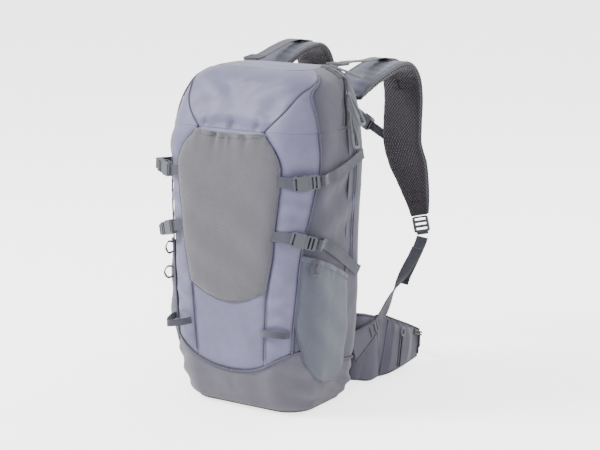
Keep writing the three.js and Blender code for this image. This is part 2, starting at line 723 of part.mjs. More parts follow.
// ---------------------------------------------------------------- hip belt
function buildHipBelt() {
  for (const [name, side] of SIDES) {
    const root = point(side * WING_ROOT[0], WING_ROOT[1] + GAP, WING_ROOT[2]);
    const tip = point(side * WING_TIP[0], WING_TIP[1], WING_TIP[2]);
    addPart(`hip_wing_${name}`, band({
      path: [root, root.clone().add(point(0, 8, 0)), point(side * 106, 195, 45), tip],
      across: point(0, 0, 1),
      width: (share) => mix(WING_ROOT_HEIGHT, WING_TIP_HEIGHT, share ** 1.4),
      thickness: (share) => mix(WING_THICKNESS, WING_THICKNESS / 2, share ** 3),
      steps: 14,
      edge: 0.5,
    }), PADDING);
  }
  const outward = point(0, 1, 0);
  const mouthX = 9;
  const buckleY = BELT_Y - BUCKLE_THICKNESS / 2;
  const socketPlace = fittingFrame(point(mouthX, buckleY, BELT_Z), point(-1, 0, 0), outward);
  const plugX = mouthX - PRONG_LENGTH - BELT_OPEN;
  const plugPlace = fittingFrame(point(plugX, buckleY, BELT_Z), point(-1, 0, 0), outward);
  addPart('hip_buckle_socket', buckleSocket(WIDE_WEB), PLASTIC, socketPlace);
  addPart('hip_buckle_plug', bucklePlug(WIDE_WEB), PLASTIC, plugPlace);
  const starts = { r: mouthX + SOCKET_LENGTH + 1, l: plugX - 18 };
  for (const [name, side] of SIDES) {
    const x = starts[name];
    const tip = point(side * WING_TIP[0], WING_TIP[1] + 3, WING_TIP[2]);
    const bend = [[x, BELT_Y], [side * 76, BELT_Y - 3], [side * 104, 288]];
    addPart(`hip_web_${name}`, band({
      path: [...bend.map(([bendX, bendY]) => point(bendX, bendY, BELT_Z)), tip],
      across: point(0, 0, 1),
      width: WIDE_WEB,
      thickness: WEB_THICKNESS,
      steps: 14,
    }), WEBBING);
  }
}

// ---------------------------------------------------------------- zips
function zipSlider(stand) {
  const [width, length, height] = SLIDER;
  const body = boxBetween([-length / 2, -width / 2, 0], [length / 2, width / 2, height * 0.6]);
  const bridge = boxBetween([-length / 2 + 1, -1.6, 0], [length / 2 - 1, 1.6, height]);
  const post = boxBetween([length / 2 - 4, -1.2, 0], [length / 2 - 1, 1.2, height + stand]);
  return body.add(bridge).add(post);
}

// A cord loop with a moulded end. It hangs along +X from its eye at the origin.
function zipPull() {
  const narrow = PULL_EYE_WIDTH / 2;
  const wide = PULL_WIDTH / 2;
  const outline = [
    [-PULL_HEEL, -narrow], [PULL_LENGTH - 9, -wide], [PULL_LENGTH - 4, -wide], [PULL_LENGTH, -wide + 4],
    [PULL_LENGTH, wide - 4], [PULL_LENGTH - 4, wide], [PULL_LENGTH - 9, wide], [-PULL_HEEL, narrow],
  ];
  const hole = [
    [4, -narrow + 1.6], [PULL_LENGTH - 8, -wide + 2.6], [PULL_LENGTH - 8, wide - 2.6], [4, narrow - 1.6],
  ];
  return plate(outline, PULL_THICKNESS, [hole]);
}

function buildZips() {
  const sliders = { lower: 428, upper: 452 };
  const layers = { lower: 0, upper: PULL_THICKNESS + PULL_GAP };
  for (const [name, height] of Object.entries(sliders)) {
    const surface = (z) => sidePoint(z, zipY(z) + SLIDER[0] / 2 + 1, 1, 1);
    const along = surface(height - 4).sub(surface(height + 4)).normalize();
    const outward = along.clone().cross(point(0, 1, 0)).normalize();
    const place = fittingFrame(surface(height), along, outward);
    addPart(`zip_slider_${name}`, zipSlider(layers[name]), METAL, place);
    const eye = surface(height).addScaledVector(along, SLIDER[1] / 2 - 2.5);
    eye.addScaledVector(outward, SLIDER[2] + layers[name] + PULL_GAP);
    const hang = point(0, 0, -1).addScaledVector(outward, outward.z);
    addPart(`zip_pull_${name}`, zipPull(), PLASTIC, fittingFrame(eye, hang, outward));
  }
  const [from, to] = TOP_ZIP.map((x) => point(x, TOP_ZIP_Y, topSurface(x, TOP_ZIP_Y) + 2));
  const along = from.clone().sub(to).normalize();
  addPart('top_zip_slider', zipSlider(0), METAL, fittingFrame(from, along, point(0, 0, 1)));
  const sweep = Math.hypot(PULL_HEEL, PULL_THICKNESS, PULL_EYE_WIDTH / 2);
  const eye = from.clone().addScaledVector(along, SLIDER[1] / 2 + sweep + PULL_GAP);
  eye.add(point(0, 0, SLIDER[2] + PULL_GAP));
  addPart('top_zip_pull', zipPull(), PLASTIC, fittingFrame(eye, point(38, 24, -17), point(0, 0, 1)));
}

buildBag();
buildPockets();
buildBack();
buildCompression();
buildToolLoops();
buildStraps();
buildSternum();
buildHipBelt();
buildZips();

export default backpack;
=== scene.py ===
"""Hiking backpack: fabric, padding, webbing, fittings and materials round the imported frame."""
import math
import bmesh
import bpy
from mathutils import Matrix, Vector, noise


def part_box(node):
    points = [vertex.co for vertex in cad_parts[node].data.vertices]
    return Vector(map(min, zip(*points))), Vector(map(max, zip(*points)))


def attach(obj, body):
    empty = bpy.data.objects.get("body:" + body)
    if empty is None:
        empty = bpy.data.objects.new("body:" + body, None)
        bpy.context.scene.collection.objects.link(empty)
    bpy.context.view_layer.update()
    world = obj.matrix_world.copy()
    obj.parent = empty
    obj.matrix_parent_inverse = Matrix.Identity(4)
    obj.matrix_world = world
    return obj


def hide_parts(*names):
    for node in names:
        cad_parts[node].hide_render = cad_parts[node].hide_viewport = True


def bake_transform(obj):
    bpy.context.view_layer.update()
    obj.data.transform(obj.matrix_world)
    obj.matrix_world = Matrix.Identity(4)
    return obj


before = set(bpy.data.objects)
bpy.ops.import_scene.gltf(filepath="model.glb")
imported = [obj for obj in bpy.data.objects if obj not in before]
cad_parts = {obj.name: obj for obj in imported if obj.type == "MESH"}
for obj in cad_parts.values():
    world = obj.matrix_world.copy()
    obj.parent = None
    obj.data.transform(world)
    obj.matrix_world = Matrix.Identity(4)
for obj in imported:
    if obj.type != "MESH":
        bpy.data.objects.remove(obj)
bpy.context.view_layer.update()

MM = 0.001
SIDES = (("r", 1), ("l", -1))
CLOTH = 0.0012            # thickness of a cloth panel, in metres
WIDE_WEB, NARROW_WEB = 0.020, 0.015

# ---------------------------------------------------------------- camera and light
AZIMUTH = math.radians(33)
ELEVATION = math.radians(12)
AIM = Vector((0.018, 0.071, 0.2477))
DISTANCE = 2.4
LENS = 97


def make_camera():
    away = Vector((
        math.sin(AZIMUTH) * math.cos(ELEVATION),
        -math.cos(AZIMUTH) * math.cos(ELEVATION),
        math.sin(ELEVATION),
    ))
    camera = bpy.data.objects.new("camera", bpy.data.cameras.new("camera"))
    camera.location = AIM + away * DISTANCE
    camera.rotation_euler = (-away).to_track_quat("-Z", "Y").to_euler()
    camera.data.lens = LENS
    camera.data.clip_end = 50
    bpy.context.collection.objects.link(camera)
    bpy.context.scene.camera = camera


def area_light(name, place, size, energy):
    data = bpy.data.lights.new(name, "AREA")
    data.shape = "DISK"
    data.size = size
    data.energy = energy
    light = bpy.data.objects.new(name, data)
    light.location = place
    light.rotation_euler = (AIM - Vector(place)).to_track_quat("-Z", "Y").to_euler()
    bpy.context.collection.objects.link(light)


def brighten_for_camera(tree, strength, extra, base):
    """The strength is the base for light that falls on the object, and more where the camera looks."""
    rays = tree.nodes.new("ShaderNodeLightPath")
    seen = tree.nodes.new("ShaderNodeMath")
    seen.operation = "MULTIPLY_ADD"
    seen.inputs[1].default_value = extra
    seen.inputs[2].default_value = base
    tree.links.new(rays.outputs["Is Camera Ray"], seen.inputs[0])
    tree.links.new(seen.outputs[0], strength)


def make_studio():
    world = bpy.data.worlds.new("studio")
    world.use_nodes = True
    background = world.node_tree.nodes["Background"]
    background.inputs["Color"].default_value = (1.0, 1.0, 1.0, 1)
    brighten_for_camera(world.node_tree, background.inputs["Strength"], 6.0, 1.35)
    bpy.context.scene.world = world
    area_light("key", (-1.7, -1.6, 2.4), 1.0, 135)
    area_light("fill", (2.4, -1.2, 1.3), 1.8, 9)
    area_light("rim", (0.9, 2.0, 2.0), 1.2, 30)
    bpy.ops.mesh.primitive_plane_add(size=60, location=(0, 0, -0.0005))
    floor = bpy.context.object
    floor.name = "floor"
    material = bpy.data.materials.new("floor")
    material.use_nodes = True
    shader = material.node_tree.nodes["Principled BSDF"]
    shader.inputs["Base Color"].default_value = (0.97, 0.97, 0.97, 1)
    shader.inputs["Roughness"].default_value = 0.8
    shader.inputs["Emission Color"].default_value = (1.0, 1.0, 1.0, 1)
    brighten_for_camera(material.node_tree, shader.inputs["Emission Strength"], 2.2, 0.0)
    floor.data.materials.append(material)


# ---------------------------------------------------------------- materials
class Shader:
    """A small helper round a material's node tree."""

    def __init__(self, name):
        self.material = bpy.data.materials.new(name)
        self.material.use_nodes = True
        self.nodes = self.material.node_tree.nodes
        self.links = self.material.node_tree.links
        self.principled = self.nodes["Principled BSDF"]
        self.object_space = self.nodes.new("ShaderNodeTexCoord").outputs["Object"]
        cloth = self.nodes.new("ShaderNodeUVMap")
        cloth.uv_map = "cloth"
        self.cloth_space = cloth.outputs["UV"]

    def put(self, kind, inputs=None, **settings):
        node = self.nodes.new(kind)
        for key, value in settings.items():
            setattr(node, key, value)
        for key, value in (inputs or {}).items():
            if isinstance(value, bpy.types.NodeSocket):
                self.links.new(value, node.inputs[key])
            else:
                node.inputs[key].default_value = value
        return node

    def noise(self, scale, detail=2.0, stretch=(1, 1, 1)):
        mapping = self.put("ShaderNodeMapping", {"Vector": self.object_space, "Scale": stretch})
        inputs = {"Vector": mapping.outputs[0], "Scale": scale, "Detail": detail}
        return self.put("ShaderNodeTexNoise", inputs).outputs["Fac"]

    def waves(self, per_metre, angle, distortion=0.0):
        """Parallel ribs, running at an angle in the cloth's own plane."""
        mapping = self.put("ShaderNodeMapping", {"Vector": self.cloth_space, "Rotation": (0, 0, angle)})
        node = self.put("ShaderNodeTexWave", {
            "Vector": mapping.outputs[0],
            "Scale": per_metre * math.pi / 10,
            "Distortion": distortion,
            "Detail": 1.0,
        })
        return node.outputs["Fac"]

    def math(self, operation, a, b):
        return self.put("ShaderNodeMath", {0: a, 1: b}, operation=operation).outputs[0]

    def weighted(self, a, a_share, b, b_share):
        return self.math("ADD", self.math("MULTIPLY", a, a_share), self.math("MULTIPLY", b, b_share))

    def scaled_up(self, value, share, base):
        return self.math("ADD", self.math("MULTIPLY", value, share), base)

    def blend(self, factor, dark, light):
        ramp = self.put("ShaderNodeValToRGB", {"Fac": factor})
        ramp.color_ramp.elements[0].color = (*dark, 1)
        ramp.color_ramp.elements[1].color = (*light, 1)
        ramp.color_ramp.elements[0].position = 0.3
        ramp.color_ramp.elements[1].position = 0.7
        return ramp.outputs["Color"]

    def finish(self, colour, roughness, height, bump=0.3, reach=0.0006, **sockets):
        self.links.new(colour, self.principled.inputs["Base Color"])
        if isinstance(roughness, bpy.types.NodeSocket):
            self.links.new(roughness, self.principled.inputs["Roughness"])
        else:
            self.principled.inputs["Roughness"].default_value = roughness
        node = self.put("ShaderNodeBump", {"Height": height, "Strength": bump, "Distance": reach})
        self.links.new(node.outputs[0], self.principled.inputs["Normal"])
        for key, value in sockets.items():
            self.principled.inputs[key.replace("_", " ").title().replace("Ior", "IOR")].default_value = value
        return self.material


def scaled(colour, share):
    return tuple(c * share for c in colour)


def woven(name, colour):
    """Plain-woven cloth: warp and weft, soft mottling and slubs."""
    shader = Shader(name)
    weave = shader.math("ADD", shader.waves(900, 0), shader.waves(900, math.pi / 2))
    soft = shader.noise(34, 4)
    slub = shader.noise(420, 2, stretch=(1, 1, 0.12))
    tone = shader.weighted(soft, 0.72, slub, 0.28)
    colours = shader.blend(tone, scaled(colour, 0.90), scaled(colour, 1.10))
    gloss = shader.scaled_up(soft, 0.16, 0.67)
    height = shader.weighted(weave, 0.5, slub, 0.35)
    return shader.finish(
        colours, gloss, height, 0.35, 0.0004,
        sheen_weight=0.25, sheen_roughness=0.5, specular_ior_level=0.35,
    )


def ribbed(name, colour, ribs=420, angle=0.5, mottle=0.14):
    """Stretch knit with fine slanting ribs."""
    shader = Shader(name)
    rib = shader.waves(ribs, angle, distortion=0.6)
    cross = shader.waves(ribs * 1.7, angle + math.pi / 2)
    soft = shader.noise(26, 4)
    tone = shader.weighted(rib, 0.45, soft, 0.55)
    colours = shader.blend(tone, scaled(colour, 1 - mottle), scaled(colour, 1 + mottle))
    height = shader.math("ADD", rib, shader.math("MULTIPLY", cross, 0.4))
    return shader.finish(
        colours, 0.86, height, 0.7, 0.0007,
        sheen_weight=0.35, sheen_roughness=0.45, specular_ior_level=0.25,
    )


def spacer_mesh(name, colour):
    """Knitted spacer mesh: rows of holes between slanting ridges, with painted shade that darkens the holes."""
    shader = Shader(name)
    one, other = (shader.waves(270, math.radians(turn)) for turn in (38, -38))
    lattice = shader.math("MULTIPLY", one, other)
    soft = shader.noise(30, 3)
    tone = shader.weighted(lattice, 0.9, soft, 0.22)
    # painted shade: the sunk holes of the lattice are darker than the ridges
    colours = shader.blend(tone, scaled(colour, 0.62), scaled(colour, 1.5))
    return shader.finish(
        colours, 0.9, lattice, 0.9, 0.0014,
        sheen_weight=0.3, sheen_roughness=0.4, specular_ior_level=0.2,
    )


def webbing(name, colour, ribs=640):
    """Flat woven webbing: close ribs across the band and a slanting rib pattern."""
    shader = Shader(name)
    rib = shader.waves(ribs, math.radians(90))
    herring = shader.waves(ribs * 0.8, math.radians(32))
    soft = shader.noise(60, 3)
    tone = shader.weighted(herring, 0.4, soft, 0.6)
    colours = shader.blend(tone, scaled(colour, 0.78), scaled(colour, 1.22))
    height = shader.math("ADD", rib, shader.math("MULTIPLY", herring, 0.6))
    return shader.finish(
        colours, 0.78, height, 0.6, 0.0006,
        sheen_weight=0.3, sheen_roughness=0.4, specular_ior_level=0.3,
    )


def moulded(name, colour, roughness):
    """Moulded plastic or painted metal: fine spark grain and rubbed, smoother patches."""
    shader = Shader(name)
    fine = shader.noise(900, 2)
    rubbed = shader.noise(70, 3)
    colours = shader.blend(rubbed, scaled(colour, 0.88), scaled(colour, 1.12))
    gloss = shader.scaled_up(rubbed, 0.25, roughness - 0.12)
    return shader.finish(colours, gloss, fine, 0.12, 0.0002, specular_ior_level=0.5)


def satin(name, colour, painted_highlight):
    """Shiny nylon: a fine weave under a soft, uneven gloss that catches the light on folds, and a painted highlight
    that lightens the colour in soft patches and where the crinkles rise.
    """
    shader = Shader(name)
    weave = shader.math("ADD", shader.waves(1100, 0), shader.waves(1100, math.pi / 2))
    soft = shader.noise(18, 5)
    crinkle = shader.noise(95, 4)
    tone = shader.weighted(soft, 0.7, crinkle, 0.3)
    # painted highlight: lighter colour in soft patches and on the raised crinkles
    colours = shader.blend(tone, colour, painted_highlight)
    gloss = shader.scaled_up(crinkle, 0.22, 0.34)
    height = shader.weighted(weave, 0.15, crinkle, 1.2)
    return shader.finish(
        colours, gloss, height, 0.3, 0.0014,
        sheen_weight=0.25, sheen_roughness=0.35, specular_ior_level=0.45,
    )


LAVENDER = (0.148, 0.142, 0.235)
COLOURS = {
    "side_cloth": (0.066, 0.063, 0.092),
    "base_cloth": (0.100, 0.095, 0.122),
    "front_stretch": (0.116, 0.114, 0.130),
    "side_stretch": (0.094, 0.104, 0.135),
    "spacer_mesh": (0.047, 0.041, 0.050),
    "strap_cloth": (0.098, 0.104, 0.148),
    "webbing": (0.062, 0.064, 0.084),
    "buckle": (0.070, 0.074, 0.088),
    "piping": (0.070, 0.068, 0.108),
    "binding": (0.056, 0.060, 0.076),
    "thread": (0.130, 0.128, 0.165),
    "pull": (0.130, 0.138, 0.150),
    "dark": (0.010, 0.010, 0.013),
    "sheet": (0.017, 0.017, 0.019),
    "slider": (0.110, 0.116, 0.128),
}


def make_materials():
    made = {
        # the lighter lavender is a painted highlight on the satin
        "satin": satin("satin", scaled(LAVENDER, 0.80), scaled(LAVENDER, 1.12)),
        "front_stretch": ribbed("front_stretch", COLOURS["front_stretch"]),
        "side_stretch": ribbed("side_stretch", COLOURS["side_stretch"], 520, -0.4, 0.10),
        "spacer_mesh": spacer_mesh("spacer_mesh", COLOURS["spacer_mesh"]),
        "webbing": webbing("webbing", COLOURS["webbing"]),
        "binding": webbing("binding", COLOURS["binding"], 800),
        "dark": webbing("dark", COLOURS["dark"], 700),
    }
    for name in ("side_cloth", "base_cloth", "strap_cloth", "piping", "thread"):
        made[name] = woven(name, COLOURS[name])
    for name, roughness in (("buckle", 0.42), ("pull", 0.45), ("sheet", 0.5), ("slider", 0.35)):
        made[name] = moulded(name, COLOURS[name], roughness)
    return made


MATERIALS = make_materials()
SLOTS = {name: name for name in MATERIALS}
SLOTS.update({
    "binding": "webbing", "dark": "webbing", "piping": "satin", "thread": "strap_cloth",
    "buckle": "buckle_plastic", "pull": "pull_cord", "sheet": "sheet_plastic", "slider": "slider_metal",
})


# ---------------------------------------------------------------- mesh building
def mix(low, high, share):
    return low + (high - low) * share


def along_table(table, where):
    """Linear interpolation in a table of (place, value), held at its ends."""
    if where <= table[0][0]:
        return table[0][1]
    for (a, low), (b, high) in zip(table, table[1:]):
        if where <= b:
            return mix(low, high, (where - a) / (b - a))
    return table[-1][1]


def eased_table(table, where, spread):
    """The table's value averaged over a short stretch, so that its corners are rounded."""
    return sum(along_table(table, where + spread * k / 3) for k in range(-3, 4)) / 7


def hump(where, middle, width):
    return math.exp(-((where - middle) / width) ** 2)


def finish_piece(obj, material, body, replaced=(), thickness=0.0):
    """Material, thickness and the body that a piece rides on."""
    obj.data.materials.append(MATERIALS[material])
    for face in obj.data.polygons:
        face.use_smooth = True
    if thickness:
        obj.modifiers.new("thickness", "SOLIDIFY").thickness = thickness
    if body:
        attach(obj, body)
    if replaced:
        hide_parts(*replaced)
    return obj


def sheet_mesh(name, rows, closed=False):
    """A mesh through rows of points, with its own cloth coordinates in metres."""
    count = len(rows[0])
    spans = count if closed else count - 1
    faces = []
    for j in range(len(rows) - 1):
        for i in range(spans):
            k = (i + 1) % count
            faces.append((j * count + i, j * count + k, (j + 1) * count + k, (j + 1) * count + i))
    mesh = bpy.data.meshes.new(name)
    mesh.from_pydata([tuple(p) for row in rows for p in row], [], faces)
    layer = mesh.uv_layers.new(name="cloth")
    middle = count // 2
    lengths = [0.0]
    for low, high in zip(rows, rows[1:]):
        lengths.append(lengths[-1] + (high[middle] - low[middle]).length)
    across = []
    for row in rows:
        places = [0.0]
        for a, b in zip(row, row[1:]):
            places.append(places[-1] + (b - a).length)
        places.append(places[-1] + (row[0] - row[-1]).length)
        across.append([p - places[middle] for p in places])
    corner = 0
    for j in range(len(rows) - 1):
        for i in range(spans):
            for row, column in ((j, i), (j, i + 1), (j + 1, i + 1), (j + 1, i)):
                layer.data[corner].uv = (across[row][column], lengths[row])
                corner += 1
    obj = bpy.data.objects.new(name, mesh)
    bpy.context.collection.objects.link(obj)
    return obj


def smooth_path(points, steps):
    """Catmull-Rom through points, evenly spaced by length."""
    points = [Vector(p) for p in points]
    if len(points) == 2:
        return [points[0].lerp(points[1], i / steps) for i in range(steps + 1)]
    padded = [2 * points[0] - points[1], *points, 2 * points[-1] - points[-2]]
    fine = []
    for a, b, c, d in zip(padded, padded[1:], padded[2:], padded[3:]):
        for i in range(12):
            s = i / 12
            square, cube = 2 * a - 5 * b + 4 * c - d, 3 * b - a - 3 * c + d
            fine.append(0.5 * (2 * b + (c - a) * s + square * s * s + cube * s ** 3))
    fine.append(points[-1])
    lengths = [0.0]
    for a, b in zip(fine, fine[1:]):
        lengths.append(lengths[-1] + (b - a).length)
    spaced = []
    k = 0
    for i in range(steps + 1):
        target = lengths[-1] * i / steps
        while k < len(fine) - 2 and lengths[k + 1] < target:
            k += 1
        span = max(lengths[k + 1] - lengths[k], 1e-9)
        spaced.append(fine[k].lerp(fine[k + 1], min(1.0, (target - lengths[k]) / span)))
    return spaced


def ring_mesh(name, rings, capped=True):
    """A closed tube through rings of points."""
    obj = sheet_mesh(name, rings, closed=True)
    if capped:
        count = len(rings[0])
        last = count * (len(rings) - 1)
        body = bmesh.new()
        body.from_mesh(obj.data)
        body.verts.ensure_lookup_table()
        body.faces.new([body.verts[i] for i in reversed(range(count))])
        body.faces.new([body.verts[last + i] for i in range(count)])
        bmesh.ops.recalc_face_normals(body, faces=body.faces)
        body.to_mesh(obj.data)
        body.free()
    return obj


FLAT = [(-1, -0.6), (-1, 0.6), (-0.94, 1), (-0.5, 1), (0, 1), (0.5, 1), (0.94, 1)]
FLAT += [(-s, -t) for s, t in FLAT]
ROUND = [(math.cos(math.tau * i / 8), math.sin(math.tau * i / 8)) for i in range(8)]


def directions(path):
    """Each point of a path with the way it runs there."""
    last = len(path) - 1
    for i, centre in enumerate(path):
        yield centre, (path[min(i + 1, last)] - path[max(i - 1, 0)]).normalized()


def cord(name, points, diameter, material, body, steps=40, replaced=()):
    """A thin round trim such as piping, laid along points."""
    rings = []
    side = None
    for centre, along in directions(smooth_path(points, steps)):
        if side is None:
            side = along.orthogonal().normalized()
        side = (side - along * along.dot(side)).normalized()
        up = along.cross(side)
        rings.append([centre + (side * c + up * s) * diameter / 2 for c, s in ROUND])
    return finish_piece(ring_mesh(name, rings), material, body, replaced)


# ---------------------------------------------------------------- the bag's surface
HALF_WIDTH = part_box("side_panel_r")[1].x
FRONT = -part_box("front_panel")[0].y
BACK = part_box("back_panel")[1].y
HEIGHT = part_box("hood")[1].z - 0.005
TOP = HEIGHT - 0.001        # where the hood's walls end and its cap begins
FOOT = 0.0015               # where the boot's walls end and its floor begins
SEAM = 0.409
# share of the height, then half width, front, back, front corner and back corner as shares of the full sizes
SHAPE = [
    (0.000, 0.365, 0.60, 0.86, 0.62, 0.84), (0.024, 0.405, 0.77, 0.945, 0.77, 0.93),
    (0.080, 0.432, 0.89, 0.975, 0.88, 0.97), (0.162, 0.45, 0.965, 1.0, 0.95, 1.0),
    (0.304, 0.472, 0.99, 1.0, 1.0, 1.0), (0.506, 0.478, 1.0, 1.0, 1.0, 1.0),
    (0.668, 0.494, 0.99, 1.0, 1.0, 1.0), (0.739, 0.50, 0.98, 1.0, 1.0, 1.0),
    (0.830, 0.486, 0.905, 1.0, 0.97, 1.0), (0.891, 0.466, 0.79, 0.99, 0.92, 0.98),
    (0.941, 0.432, 0.62, 0.965, 0.80, 0.94), (0.976, 0.385, 0.43, 0.92, 0.62, 0.90),
    (1.000, 0.290, 0.14, 0.80, 0.50, 0.72),
]
SIZES = (2 * HALF_WIDTH, FRONT, BACK, 0.060, 0.036)


def shape_at(height):
    """Half width, front, back, front corner and back corner at a height, eased between the rows."""
    share = min(max(height / HEIGHT, 0.0), 1.0)
    last = len(SHAPE) - 1
    k = 0
    while k < last - 1 and share > SHAPE[k + 1][0]:
        k += 1
    before, low, high, after = (SHAPE[max(k - 1, 0)], SHAPE[k], SHAPE[k + 1], SHAPE[min(k + 2, last)])
    s = (share - low[0]) / (high[0] - low[0])
    values = []
    for column, size in enumerate(SIZES, 1):
        span = high[0] - low[0]
        m0 = (high[column] - before[column]) / max(high[0] - before[0], 1e-6) * span
        m1 = (after[column] - low[column]) / max(after[0] - low[0], 1e-6) * span
        if k == 0:
            m0 = high[column] - low[column]
        if k + 1 == last:
            m1 = (high[column] - low[column]) * 1.6
        value = ((2 * s ** 3 - 3 * s * s + 1) * low[column] + (s ** 3 - 2 * s * s + s) * m0
                 + (3 * s * s - 2 * s ** 3) * high[column] + (s ** 3 - s * s) * m1)
        values.append(value * size)
    return values


class Outline:
    """The bag's half outline at a height, with its corners kept inside, and the lengths of its stretches."""

    def __init__(self, height):
        self.half, self.front, self.back, rf, rb = shape_at(height)
        self.rf = min(rf, self.half * 0.94, (self.front + self.back) * 0.6)
        self.rb = min(rb, self.half * 0.94, (self.front + self.back) * 0.38)
        self.flat = self.half - self.rf
        self.arc_front = self.rf * math.pi / 2
        self.side = self.front + self.back - self.rf - self.rb
        self.arc_back = self.rb * math.pi / 2


def surface(t, height):
    """The bag's surface at a distance t from the front middle round towards +X."""
    o = Outline(height)
    if t <= o.flat:
        return Vector((t, -o.front, height))
    t -= o.flat
    if t <= o.arc_front:
        turn = t / o.rf
        return Vector((o.flat + o.rf * math.sin(turn), -o.front + o.rf - o.rf * math.cos(turn), height))
    t -= o.arc_front
    if t <= o.side:
        return Vector((o.half, -o.front + o.rf + t, height))
    t -= o.side
    if t <= o.arc_back:
        turn = t / o.rb
        return Vector((o.half - o.rb + o.rb * math.cos(turn), o.back - o.rb + o.rb * math.sin(turn), height))
    return Vector((o.half - o.rb - (t - o.arc_back), o.back, height))


def t_back(height):
    o = Outline(height)
    return o.flat + o.arc_front + o.side + o.arc_back + o.half - o.rb


def t_of_x(x, height):
    """Where the surface's front has this x."""
    o = Outline(height)
    return x if x <= o.flat else o.flat + o.rf * math.asin(min((x - o.flat) / o.rf, 1.0))


def t_of_y(y, height):
    """Where the surface's side has this y."""
    o = Outline(height)
    if y <= -o.front + o.rf:
        return o.flat + o.rf * math.acos(min(max((-o.front + o.rf - y) / o.rf, -1.0), 1.0))
    if y <= o.back - o.rb:
        return o.flat + o.arc_front + (y + o.front - o.rf)
    turn = math.asin(min(max((y - o.back + o.rb) / o.rb, 0.0), 1.0))
    return o.flat + o.arc_front + o.side + o.rb * turn


def mirrored(point, side):
    return Vector((point.x * side, point.y, point.z))


def outward(t, height):
    step = 0.002
    low, high = max(height - step, 0.0005), min(height + step, HEIGHT - 0.0005)
    along = surface(t + step, height) - surface(t - step, height) if t > step else Vector((1, 0, 0))
    up = surface_share(t, height, high) - surface_share(t, height, low)
    normal = along.cross(up)
    if normal.length < 1e-12:
        return Vector((0, 0, 1))
    return normal.normalized()


def surface_share(t, height, other):
    """The point at another height that lies at the same share of the perimeter."""
    return surface(t * t_back(other) / max(t_back(height), 1e-6), other)


def on_bag(t, height, out=0.0, side=1):
    return mirrored(surface(t, height) + outward(t, height) * out, side)


def on_side(y, z, out, side):
    """A point on the bag's side. y and z are in millimetres."""
    return on_bag(t_of_y(y * MM, z * MM), z * MM, out, side)


# height and Y of the seam between each corner strip and its side panel
SIDE_SEAM = [
    (0.0, -0.070), (0.095, -0.073), (0.134, -0.074), (0.237, -0.068), (0.300, -0.057), (0.366, -0.044),
    (0.424, -0.041), (0.466, -0.036), (0.476, -0.026), (0.484, 0.004), (0.490, 0.040),
]
# half width of the front pocket at a height; the seam beside it follows the same line
POCKET_EDGE = [(0.182, 0.0640), (0.234, 0.0745), (0.275, 0.0785), (0.335, 0.0860), (0.361, 0.0872),
               (0.376, 0.0820), (0.388, 0.0740), (0.406, 0.0570)]


def t_side_seam(height):
    """The seam between the corner strip and the side panel."""
    y = eased_table(SIDE_SEAM, height, 0.02)
    return t_of_y(max(y, -shape_at(height)[1] + 0.0008), height)


def t_front_seam(height):
    """The seam between the front panel and the corner strip, beside the front pocket."""
    x = eased_table([(0.0, 0.053), (0.127, 0.0605)] + POCKET_EDGE + [(0.430, 0.045)], height, 0.006)
    return t_of_x(x, height)


def t_back_seam(height):
    """The seam between the side panel and the back panel."""
    o = Outline(height)
    return o.flat + o.arc_front + o.side + o.arc_back * 0.55


# ---------------------------------------------------------------- folds, gathers and soft bulges
def flow(point, scale, seed=0.0):
    return noise.noise(Vector(point) * scale + Vector((seed, seed * 0.7, seed * 1.3)))


def soft_cloth(point, amount=1.0, seed=0.0):
    broad = 0.0022 * flow(point, 11, seed)
    middle = 0.0011 * flow(point, 31, seed + 3)
    fine = 0.00028 * flow(point, 95, seed + 9)
    return amount * (broad + middle + fine)


def panel_rows(side, edges_t, edges_z, out, columns, rows, seed, wrinkle, pinch, flat):
    """Points of a cloth panel between two seams. Edges named in flat run on into the next panel."""
    grid = []
    for j in range(rows + 1):
        b = j / rows
        line = []
        for i in range(columns + 1):
            a = i / columns
            height = mix(edges_z[0](a), edges_z[1](a), b)
            low, high = edges_t[0](height), edges_t[1](height)
            t = mix(low, high, a)
            point = surface(t, height)
            tall = edges_z[1](a) - edges_z[0](a)
            spans = {"start": a * (high - low), "end": (1 - a) * (high - low), "bottom": b * tall, "top": (1 - b) * tall}
            near = max(min([v for k, v in spans.items() if k not in flat]), 0)
            ease = 1 - math.exp(-near / 0.012)
            lift = soft_cloth(mirrored(point, side), wrinkle, seed) * ease - pinch * math.exp(-near / 0.005)
            if out:
                lift += out(a, b, t, height) * ease
            lift *= min(1.0, (TOP - height) / 0.018)
            line.append(mirrored(point + outward(t, height) * lift, side))
        grid.append(line)
    return grid


def panel(name, side, edges_t, edges_z, material, body, replaced=(), out=None, columns=48, rows=64,
          seed=0.0, wrinkle=1.0, pinch=0.0026, flat=()):
    grid = panel_rows(side, edges_t, edges_z, out, columns, rows, seed, wrinkle, pinch, flat)
    if side < 0:
        grid = [list(reversed(line)) for line in grid]
    return finish_piece(sheet_mesh(name, grid), material, body, replaced, CLOTH)


def middle_panel(name, edges_t, edges_z, material, body, replaced=(), out=None, columns=48, rows=64,
                 seed=0.0, wrinkle=1.0, pinch=0.0026, flat=()):
    """A panel that crosses the bag's middle, at the front or at the back."""
    halves = [panel_rows(side, edges_t, edges_z, out, columns, rows, seed, wrinkle, pinch, flat)
              for side in (1, -1)]
    if "start" in flat:
        grid = [list(reversed(left)) + right[1:] for right, left in zip(*halves)]
    else:
        grid = [right + list(reversed(left))[1:] for right, left in zip(*halves)]
    return finish_piece(sheet_mesh(name, grid), material, body, replaced, CLOTH)


def constant(value):
    return lambda _: value


def along_seam(name, t_edge, low, high, side, body, diameter, out=0.0006):
    points = []
    for i in range(31):
        height = mix(low, high, i / 30)
        points.append(on_bag(t_edge(height), height, out, side))
    return cord(name, points, diameter, "piping", body, 60)


